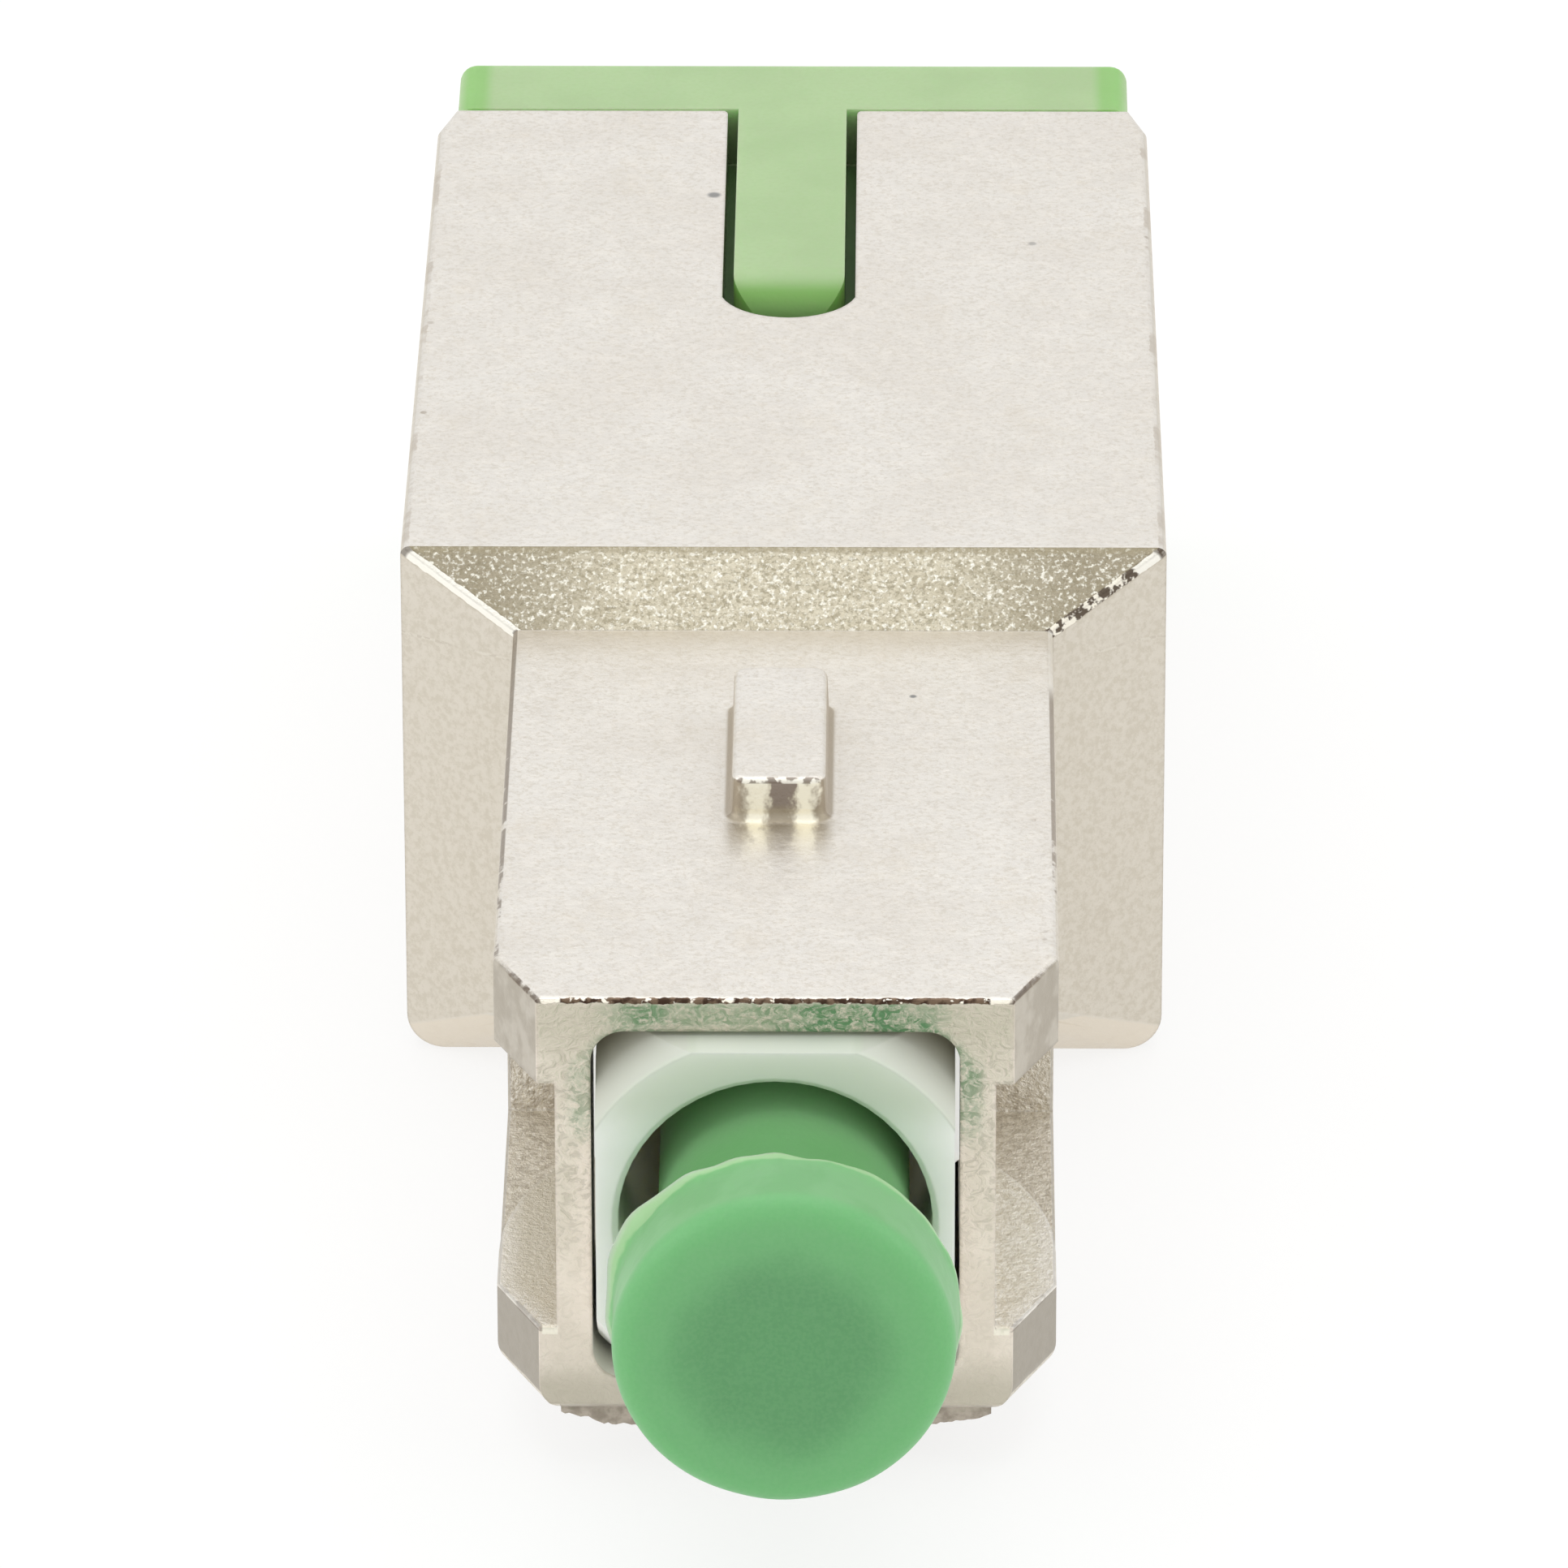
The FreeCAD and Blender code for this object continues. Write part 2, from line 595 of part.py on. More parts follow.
def ferrule_flange():
    """Metal collar bonded on the ferrule, notched for the frame's ribs, with a tail in the spring."""
    tail_end = FLANGE_END + FLANGE_TAIL_LENGTH
    bore = FERRULE_R + BOND_GAP
    body = revolve_profile(
        polar_profile(
            [
                (WEB_END, bore),
                (WEB_END, FLANGE_R - FLANGE_EDGE),
                (WEB_END + FLANGE_EDGE, FLANGE_R),
                (FLANGE_END, FLANGE_R),
                (FLANGE_END, FLANGE_TAIL_R),
                (tail_end - FLANGE_EDGE, FLANGE_TAIL_R),
                (tail_end, FLANGE_TAIL_R - FLANGE_EDGE),
                (tail_end, bore),
            ]
        )
    )
    half = LOCATING_RIB_WIDTH / 2 + NOTCH_CLEARANCE
    depth = CHAMBER_HALF - LOCATING_RIB_REACH - NOTCH_CLEARANCE
    for up in (1, -1):
        low = min(up * depth, up * 2 * FLANGE_R)
        high = max(up * depth, up * 2 * FLANGE_R)
        body = body.cut(block(-half, half, WEB_END - OVER, FLANGE_END + OVER, low, high))
    return body


def spring_point(share):
    """Point on the spring's centre line, from 0 at the flange to 1 at the seat."""
    rise = SPRING_LENGTH - 2 * SPRING_WIRE_R
    angle = 2 * math.pi * share * rise / SPRING_PITCH
    y = FLANGE_END + SPRING_WIRE_R + share * rise
    return V(SPRING_MEAN_R * math.cos(angle), y, SPRING_MEAN_R * math.sin(angle))


def ferrule_spring():
    """Compression spring between the flange and its seat, its line made of quarter-turn arcs."""
    arcs = math.ceil(4 * (SPRING_LENGTH - 2 * SPRING_WIRE_R) / SPRING_PITCH)
    edges = []
    for index in range(arcs):
        start = spring_point(index / arcs)
        middle = spring_point((index + 0.5) / arcs)
        end = spring_point((index + 1) / arcs)
        edges.append(Part.Arc(start, middle, end).toShape())
    first = edges[0]
    tangent = first.tangentAt(first.FirstParameter)
    profile = Part.Wire(Part.makeCircle(SPRING_WIRE_R, spring_point(0), tangent))
    return Part.Wire(edges).makePipeShell([profile], True, True)


def spring_seat():
    """Snap-in stop behind the spring, with two lugs that hold it in the frame."""
    half = CHAMBER_HALF - SEAT_CLEARANCE
    body = bar(SEAT_START, SEAT_END, half, half, CHAMBER_CORNER_R)
    body = body.fuse(lug_space(0.0))
    return body.cut(rod(FERRULE_R + WEB_HOLE_CLEARANCE, SEAT_START - OVER, SEAT_END + OVER))


def split_sleeve():
    """Slotted zirconia sleeve that lines the two ferrules up."""
    body = rod(SLEEVE_OUTER_R, SLEEVE_START, SLEEVE_END)
    body = body.cut(rod(SLEEVE_R, SLEEVE_START - OVER, SLEEVE_END + OVER))
    half = SLEEVE_SLIT / 2
    return body.cut(block(-half, half, SLEEVE_START - OVER, SLEEVE_END + OVER, 0, 2 * SLEEVE_OUTER_R))


def hook_arm():
    """Spring arm on the socket's side, with a ramped hook at its end."""
    hook_x = ARM_INNER_X - HOOK_REACH
    flat_end = HOOK_START + HOOK_FLAT
    root = PLATE_START + PLATE_THICKNESS / 2
    z = -ARM_HALF_H
    points = [
        V(ARM_INNER_X, root, z),
        V(ARM_INNER_X, HOOK_START, z),
        V(hook_x, HOOK_START, z),
        V(hook_x, flat_end, z),
        V(ARM_INNER_X + HOOK_TIP_LAND, ARM_END, z),
        V(ARM_OUTER_X, ARM_END, z),
        V(ARM_OUTER_X, root, z),
    ]
    return prism(points, V(0, 0, 2 * ARM_HALF_H))


def latch_insert():
    """Moulded socket insert: spigot, plate, sleeve tube and two hook arms."""
    half_w = SOCKET_HALF_W - PLATE_CLEARANCE
    half_h = SOCKET_HALF_H - PLATE_CLEARANCE
    plate = bar(PLATE_START, PLATE_END, half_w, half_h, PLATE_CORNER_R)
    spigot_half = CHAMBER_HALF - SEAT_CLEARANCE
    spigot = bar(SEAT_END, PLATE_END, spigot_half, spigot_half, CHAMBER_CORNER_R)
    tube = revolve_profile(
        polar_profile(
            [
                (PLATE_START, 0),
                (PLATE_START, TUBE_R),
                (TUBE_END - TUBE_NOSE_BEVEL, TUBE_R),
                (TUBE_END, TUBE_R - TUBE_NOSE_BEVEL),
                (TUBE_END, 0),
            ]
        )
    )
    arm = hook_arm()
    body = plate.fuse([spigot, tube, arm, mirrored(arm)])
    for side in (1, -1):
        corner = V(side * ARM_INNER_X, PLATE_END, -ARM_HALF_H)
        web = edge_rounder(corner, V(-side, 0, 0), V(0, 1, 0), ARM_ROOT_R, V(0, 0, 2 * ARM_HALF_H))
        body = body.fuse(web.common(block(-ARM_INNER_X, ARM_INNER_X, PLATE_END, HOOK_START, -OVER, OVER)))
    body = body.cut(rod(TUBE_BORE_R, SEAT_END - OVER, SLEEVE_END + SLEEVE_END_GAP))
    return body.cut(rod(TUBE_LIP_HOLE_R, SEAT_END, TUBE_END + OVER))


def ferrule_cap():
    """Soft cap over the ferrule: stem, round head with a rounded rim and a shallow dish."""
    bore_r = FERRULE_R + CAP_BORE_CLEARANCE
    bore_end = -FERRULE_TIP - CAP_TIP_GAP
    rear = CAP_STEM_END
    head_rear = -CAP_HEAD_START
    front = head_rear - CAP_HEAD_THICKNESS
    rim = CAP_FRONT_EDGE_R
    lip = CAP_REAR_EDGE_R
    bend = 1 - math.sqrt(0.5)
    dish_radius = (CAP_DISH_R**2 + CAP_DISH_DEPTH**2) / (2 * CAP_DISH_DEPTH)
    dish_centre = front + CAP_DISH_DEPTH - dish_radius
    dish_half_turn = math.asin(CAP_DISH_R / dish_radius) / 2
    dish_middle = V(
        0,
        dish_centre + dish_radius * math.cos(dish_half_turn),
        dish_radius * math.sin(dish_half_turn),
    )
    edges = [
        Part.LineSegment(V(0, bore_end, 0), V(0, bore_end, bore_r)),
        Part.LineSegment(V(0, bore_end, bore_r), V(0, rear - CAP_MOUTH_BEVEL, bore_r)),
        Part.LineSegment(V(0, rear - CAP_MOUTH_BEVEL, bore_r), V(0, rear, bore_r + CAP_MOUTH_BEVEL)),
        Part.LineSegment(V(0, rear, bore_r + CAP_MOUTH_BEVEL), V(0, rear, CAP_STEM_R)),
        Part.LineSegment(V(0, rear, CAP_STEM_R), V(0, head_rear, CAP_STEM_R)),
        Part.LineSegment(V(0, head_rear, CAP_STEM_R), V(0, head_rear, CAP_HEAD_R - lip)),
        Part.Arc(
            V(0, head_rear, CAP_HEAD_R - lip),
            V(0, head_rear - lip * bend, CAP_HEAD_R - lip * bend),
            V(0, head_rear - lip, CAP_HEAD_R),
        ),
        Part.LineSegment(V(0, head_rear - lip, CAP_HEAD_R), V(0, front + rim, CAP_HEAD_R)),
        Part.Arc(
            V(0, front + rim, CAP_HEAD_R),
            V(0, front + rim * bend, CAP_HEAD_R - rim * bend),
            V(0, front, CAP_HEAD_R - rim),
        ),
        Part.LineSegment(V(0, front, CAP_HEAD_R - rim), V(0, front, CAP_DISH_R)),
        Part.Arc(V(0, front, CAP_DISH_R), dish_middle, V(0, front + CAP_DISH_DEPTH, 0)),
        Part.LineSegment(V(0, front + CAP_DISH_DEPTH, 0), V(0, bore_end, 0)),
    ]
    return revolve_profile([edge.toShape() for edge in edges])


def dust_tongue():
    """Keyed tongue of the dust plug, flush with the shell's top, with a rounded front end."""
    half = TONGUE_HALF_W
    base = SOCKET_HALF_H - DUST_SKIRT_CLEARANCE - DUST_SKIRT_WALL / 2
    rear = SHELL_LENGTH + COLLAR_THICKNESS / 2
    points = [
        V(half, TONGUE_START, base),
        V(half, rear, base),
        V(-half, rear, base),
        V(-half, TONGUE_START, base),
    ]
    face = Part.Face(outline(points, [TONGUE_PLAN_R, 0, 0, TONGUE_PLAN_R]))
    body = face.extrude(V(0, 0, BODY_HALF_H - base))
    top_front = V(-OVER, TONGUE_START, BODY_HALF_H)
    return body.cut(edge_rounder(top_front, V(0, 1, 0), V(0, 0, -1), TONGUE_END_R, V(2 * OVER, 0, 0)))


def dust_collar():
    """Collar that closes the socket's mouth, rounded at its rear edge and hollow inside."""
    low = -BODY_HALF_H + COLLAR_BOTTOM_RISE
    high = BODY_HALF_H
    rear = SHELL_LENGTH + COLLAR_THICKNESS
    half = COLLAR_HALF_W
    points = [
        V(half, SHELL_LENGTH, low),
        V(half, SHELL_LENGTH, high),
        V(-half, SHELL_LENGTH, high),
        V(-half, SHELL_LENGTH, low),
    ]
    body = Part.Face(outline(points, [COLLAR_CORNER_R] * 4)).extrude(V(0, COLLAR_THICKNESS, 0))
    rim = [edge for edge in body.Edges if min(v.Y for v in edge.Vertexes) > rear - 1e-4]
    return body.makeFillet(COLLAR_EDGE_R, rim)


def socket_dust_plug():
    """Moulded plug of the socket: hollow skirt with notches for the hooks, collar and tongue."""
    half_w = SOCKET_HALF_W - DUST_SKIRT_CLEARANCE
    half_h = SOCKET_HALF_H - DUST_SKIRT_CLEARANCE
    rear = SHELL_LENGTH + COLLAR_THICKNESS / 2
    skirt = bar(TONGUE_START, rear, half_w, half_h, SOCKET_CORNER_R)
    body = skirt.fuse([dust_collar(), dust_tongue()])
    inner_w = half_w - DUST_SKIRT_WALL
    inner_h = half_h - DUST_SKIRT_WALL
    hollow_end = SHELL_LENGTH + COLLAR_HOLLOW_DEPTH
    body = body.cut(bar(TONGUE_START - OVER, hollow_end, inner_w, inner_h, SOCKET_CORNER_R))
    notch_half = ARM_HALF_H + DUST_NOTCH_MARGIN
    notch_end = ARM_END + CORE_TRAVEL_IN + DUST_NOTCH_MARGIN
    wide = half_w + OVER
    notch = block(-wide, wide, TONGUE_START - OVER, notch_end, -notch_half, notch_half)
    return body.cut(notch)


NODES = {
    "outer_shell": outer_shell,
    "plug_frame": plug_frame,
    "latch_insert": latch_insert,
    "split_sleeve": split_sleeve,
    "ferrule": ferrule,
    "attenuating_fibre": attenuating_fibre,
    "ferrule_flange": ferrule_flange,
    "ferrule_spring": ferrule_spring,
    "spring_seat": spring_seat,
    "ferrule_cap": ferrule_cap,
    "socket_dust_plug": socket_dust_plug,
}

os.makedirs("parts", exist_ok=True)
for name, make in NODES.items():
    solid = make()
    solid.exportStep(os.path.join("parts", name + ".step"))
    print(name, "solids", len(solid.Solids), "valid", solid.isValid(), "volume", round(solid.Volume, 3))
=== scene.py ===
"""Looks of the plug-type fibre optic attenuator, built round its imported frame.

The frame is in metres: +Y runs from the plug to the socket, +Z is up. Sizes named _MM are in
millimetres, as the object's drawings would give them, and MM turns them into metres.
"""

import math
import random

import bmesh
import bpy
from mathutils import Matrix, Vector


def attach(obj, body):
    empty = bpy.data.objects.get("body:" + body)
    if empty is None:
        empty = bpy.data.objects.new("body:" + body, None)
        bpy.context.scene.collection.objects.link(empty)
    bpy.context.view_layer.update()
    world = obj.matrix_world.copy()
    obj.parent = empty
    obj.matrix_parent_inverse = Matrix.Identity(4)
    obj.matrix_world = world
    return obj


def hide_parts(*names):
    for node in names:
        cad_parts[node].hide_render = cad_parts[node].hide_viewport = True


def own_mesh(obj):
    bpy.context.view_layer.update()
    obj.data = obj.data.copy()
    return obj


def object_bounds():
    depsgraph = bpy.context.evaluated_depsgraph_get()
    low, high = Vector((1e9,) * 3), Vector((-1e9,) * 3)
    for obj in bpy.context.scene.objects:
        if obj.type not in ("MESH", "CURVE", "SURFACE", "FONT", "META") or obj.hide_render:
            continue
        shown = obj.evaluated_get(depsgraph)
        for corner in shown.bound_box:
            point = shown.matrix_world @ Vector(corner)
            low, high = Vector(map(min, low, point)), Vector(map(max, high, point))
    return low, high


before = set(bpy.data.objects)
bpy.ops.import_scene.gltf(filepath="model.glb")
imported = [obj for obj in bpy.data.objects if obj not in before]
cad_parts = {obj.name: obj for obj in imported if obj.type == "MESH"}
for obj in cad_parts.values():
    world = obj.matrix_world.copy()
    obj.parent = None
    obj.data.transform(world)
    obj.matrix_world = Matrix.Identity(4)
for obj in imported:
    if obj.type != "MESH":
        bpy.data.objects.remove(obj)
CAD_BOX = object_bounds()

MM = 0.001

# Photograph: a square frame, a long lens, and a camera above the plug end
IMAGE_PX = 1932
FOCAL_PX = 17392
SENSOR_MM = 36.0
CAMERA_AT = (0.002125, -0.19854, 0.10515)
CAMERA_AZIMUTH = 0.5703
CAMERA_ELEVATION = 26.190
CAMERA_ROLL = -0.1201

# Studio floor, in metres: its colour, and the share and strength of the plain white in its look
FLOOR_SIZE = 8.0
FLOOR_LEVEL = CAD_BOX[0].z
FLOOR_COLOUR = (0.90, 0.90, 0.89, 1.0)
FLOOR_GLOW = 0.72
FLOOR_GLOW_STRENGTH = 1.04

# Strength of the world before and behind the object
WORLD_FRONT = 1.12
WORLD_BACK = 1.00

# Soft lamps: name, place, aim and side in metres, and watts
LAMPS = (
    ("top_box", (0.0, 0.10, 0.42), (0, 0.015, 0), 0.40, 0.5),
    ("left_box", (-0.45, -0.05, 0.25), (0, 0.01, 0), 0.30, 0.4),
    ("right_box", (0.45, 0.00, 0.25), (0, 0.01, 0), 0.30, 0.3),
)

# Outside of the housing
PLUG_HALF_W_MM = 4.495
PLUG_HALF_H_MM = 3.695
PLUG_LENGTH_MM = 13.52
LEAD_IN_DEPTH_MM = 0.72
LEAD_IN_LENGTH_MM = 1.50
SHOULDER_LENGTH_MM = 1.12
SHOULDER_END_MM = PLUG_LENGTH_MM + SHOULDER_LENGTH_MM
BODY_HALF_W_MM = 6.40
BODY_TAPER_MM = 0.09
BODY_HALF_H_MM = 4.70
BODY_END_MM = 33.0
EDGE_MM = 0.12

# Openings and recesses of the housing
OPENING_HALF_W_MM = 2.93
OPENING_HALF_H_MM = 3.13
CHANNEL_FLOOR_MM = 3.50
CHANNEL_HALF_H_MM = 2.20
LEDGE_END_MM = 5.66
POCKET_END_MM = 8.10
WITNESS_LINE_MM = 3.12

# Small marks on the level faces: x, y, radius and strength
MARKS_MM = (
    (-1.35, 29.19, 0.16, 0.75),
    (4.24, 27.11, 0.10, 0.45),
    (2.17, 11.01, 0.08, 0.80),
)

# Key on the plug's top
KEY_HALF_W_MM = 0.81
KEY_START_MM = 6.34
KEY_TOP_MM = PLUG_HALF_H_MM + 0.75

# Inner frame with the ferrule well
FRAME_FACE_MM = -0.60
FRAME_FACE_R_MM = 3.32
WELL_R_MM = 2.50

# Cap over the ferrule
CAP_BORE_R_MM = 1.279
CAP_BORE_END_MM = -2.25
CAP_STEM_R_MM = 2.00
CAP_STEM_END_MM = 4.60
CAP_STEM_CHAMFER_MM = 0.08
CAP_BORE_CHAMFER_MM = 0.20
CAP_HEAD_R_MM = 2.70
CAP_HEAD_REAR_MM = -3.42
CAP_FRONT_MM = -5.02
CAP_DISH_R_MM = 1.90
CAP_DISH_DEPTH_MM = 0.16
CAP_STEM_SHIFT_MM = 0.13
CAP_REAR_SHIFT_MM = 0.21
CAP_FRONT_SHIFT_MM = 0.16
CAP_ROUNDING_MM = 0.42
CAP_FLASH_LENGTH_MM = 0.20
CAP_FLASH_MM = 0.06
CAP_LOBE_MM = 0.13
CAP_DENT_MM = 0.012
CAP_STEPS = 144

# Spring behind the ferrule's flange
SPRING_START_MM = 9.00
SPRING_END_MM = 13.05
SPRING_WIRE_R_MM = 0.20
SPRING_MEAN_R_MM = 1.92
SPRING_TURNS = 6.5
SPRING_END_TURNS = 1.0
SPRING_STEPS = 280
SPRING_WIRE_SIDES = 14

# Casting flash under the front
BURR_HALF_W_MM = 3.45
BURR_STEPS = 110
BURR_END_DEPTH_MM = 0.12
BURR_MORE_DEPTH_MM = 0.30
BURR_LEAST_DEPTH_MM = 0.02

# Turned and drawn metals, as shown on a screen: lighter and darker tone
FLANGE_TONES = ((205, 200, 190), (180, 175, 166))
SEAT_TONES = ((214, 196, 150), (196, 176, 128))
WIRE_TONES = ((190, 190, 190), (160, 160, 162))

# Socket plug
TONGUE_HALF_W_MM = 0.965
COLLAR_HALF_W_MM = 5.99


def linear(r, g, b):
    """A colour as a screen shows it, 0 to 255, as the shader's linear colour."""
    out = []
    for value in (r, g, b):
        share = value / 255
        out.append(share / 12.92 if share <= 0.04045 else ((share + 0.055) / 1.055) ** 2.4)
    return (*out, 1.0)


class Surface:
    """A procedural material under construction, measured in millimetres of the object's frame."""

    def __init__(self, name, **shader):
        self.material = bpy.data.materials.new(name)
        self.material.use_nodes = True
        self.tree = self.material.node_tree
        self.shader = self.tree.nodes["Principled BSDF"]
        for key, value in shader.items():
            self.shader.inputs[key].default_value = value
        place = self.add("ShaderNodeTexCoord").outputs["Object"]
        self.place = self.vector("SCALE", place, scale=1 / MM)
        split = self.add("ShaderNodeSeparateXYZ", {}, {0: self.place})
        self.x, self.y, self.z = split.outputs[0], split.outputs[1], split.outputs[2]

    def add(self, kind, settings=None, sockets=None):
        """A node with its settings, and its sockets given as values or as other nodes' outputs."""
        made = self.tree.nodes.new(kind)
        for key, value in (settings or {}).items():
            setattr(made, key, value)
        for key, value in (sockets or {}).items():
            self.feed(made.inputs[key], value)
        return made

    def feed(self, socket, value):
        """Set a socket to a value, or link an output to it."""
        if isinstance(value, bpy.types.NodeSocket):
            self.tree.links.new(value, socket)
        else:
            socket.default_value = value

    def set(self, name, value):
        """Feed one of the shader's own sockets."""
        self.feed(self.shader.inputs[name], value)

    def calc(self, operation, a, b=0.0, clamp=False):
        """One step of arithmetic on numbers or outputs."""
        made = self.add("ShaderNodeMath", {"operation": operation, "use_clamp": clamp}, {0: a, 1: b})
        return made.outputs[0]

    def vector(self, operation, a, b=(0.0, 0.0, 0.0), scale=1.0):
        """One step of arithmetic on vectors."""
        made = self.add("ShaderNodeVectorMath", {"operation": operation}, {0: a, 1: b})
        if operation == "SCALE":
            made.inputs["Scale"].default_value = scale
        return made.outputs[0]

    def ramp(self, value, low, high):
        """0 below low and 1 above high, smooth between; low above high turns it round."""
        settings = {"interpolation_type": "SMOOTHSTEP", "clamp": True}
        sockets = {"Value": value, "From Min": low, "From Max": high}
        return self.add("ShaderNodeMapRange", settings, sockets).outputs["Result"]

    def below(self, value, limit, soft=0.03):
        """1 up to the limit, falling to 0 over the soft distance past it."""
        return self.ramp(value, limit + soft, limit)

    def above(self, value, limit, soft=0.03):
        """1 from the limit up, rising from 0 over the soft distance before it."""
        return self.ramp(value, limit - soft, limit)

    def within(self, value, low, high, soft=0.03):
        """1 between low and high, falling to 0 over the soft distance outside."""
        return self.all_of(self.above(value, low, soft), self.below(value, high, soft))

    def all_of(self, *shares):
        """Product of several masks."""
        total = shares[0]
        for share in shares[1:]:
            total = self.calc("MULTIPLY", total, share)
        return total

    def either(self, *shares):
        """Largest of several masks."""
        total = shares[0]
        for share in shares[1:]:
            total = self.calc("MAXIMUM", total, share)
        return total

    def inverse(self, share):
        """What a mask leaves out."""
        return self.calc("SUBTRACT", 1.0, share)

    def stretched(self, along):
        """The place with each axis scaled, for patterns drawn out in one direction."""
        return self.vector("MULTIPLY", self.place, along)

    def noise(self, scale, detail=2.0, rough=0.5, place=None, distortion=0.0):
        """Soft random field around one half, with scale in patches a millimetre."""
        sockets = {
            "Vector": place or self.place,
            "Scale": scale,
            "Detail": detail,
            "Roughness": rough,
            "Distortion": distortion,
        }
        return self.add("ShaderNodeTexNoise", {}, sockets).outputs["Fac"]

    def cells(self, scale, output="Distance", place=None):
        """Cellular field, with scale in cells a millimetre."""
        sockets = {"Vector": place or self.place, "Scale": scale}
        return self.add("ShaderNodeTexVoronoi", {"feature": "F1"}, sockets).outputs[output]

    def grains(self, scale, share, place=None):
        """Round grains, one a cell, in about that share of the cells."""
        lot = self.cells(scale, "Color", place)
        core = self.ramp(self.cells(scale, "Distance", place), 0.55, 0.25)
        return self.all_of(self.ramp(lot, 1 - share, 1 - share + 0.12), core)

    def blend(self, share, a, b):
        """Mix of two colours."""
        made = self.add("ShaderNodeMix", {"data_type": "RGBA"}, {0: share})
        self.feed(made.inputs[6], a)
        self.feed(made.inputs[7], b)
        return made.outputs[2]

    def over(self, tone, share, colour, amount=1.0):
        """A tone with another colour laid over it where a mask says, by that amount."""
        if amount < 1.0:
            share = self.calc("MULTIPLY", share, amount)
        return self.blend(share, tone, linear(*colour))

    def mottled(self, field, low, high, first, second):
        """Two colours mixed by a random field, from the first below low to the second above high."""
        return self.blend(self.ramp(field, low, high), linear(*first), linear(*second))

    def level(self, share, a, b):
        """Mix of two numbers."""
        made = self.add("ShaderNodeMix", {"data_type": "FLOAT"}, {0: share, 2: a, 3: b})
        return made.outputs[0]

    def bump(self, height, depth_mm, normal=None):
        """Relief from a height field that spans depth_mm millimetres."""
        sockets = {"Height": height, "Distance": depth_mm * MM, "Strength": 1.0}
        if normal is not None:
            sockets["Normal"] = normal
        return self.add("ShaderNodeBump", {}, sockets).outputs["Normal"]

    def worn_edges(self, radius_mm):
        """Normal of the surface with its sharp edges slightly rounded."""
        made = self.add("ShaderNodeBevel", {"samples": 6}, {"Radius": radius_mm * MM})
        return made.outputs["Normal"]

    def distance(self, a, b):
        """Length of the two legs a and b together."""
        squares = self.calc("ADD", self.calc("POWER", a, 2.0), self.calc("POWER", b, 2.0))
        return self.calc("SQRT", squares)

    def spot(self, x, y, radius):
        """Round mark on a level face."""
        away = self.distance(self.calc("SUBTRACT", self.x, x), self.calc("SUBTRACT", self.y, y))
        return self.ramp(away, radius, radius * 0.4)

    def from_axis(self, shift=0.0):
        """Distance from the optical axis, or from a line beside it."""
        return self.distance(self.calc("SUBTRACT", self.x, shift), self.z)


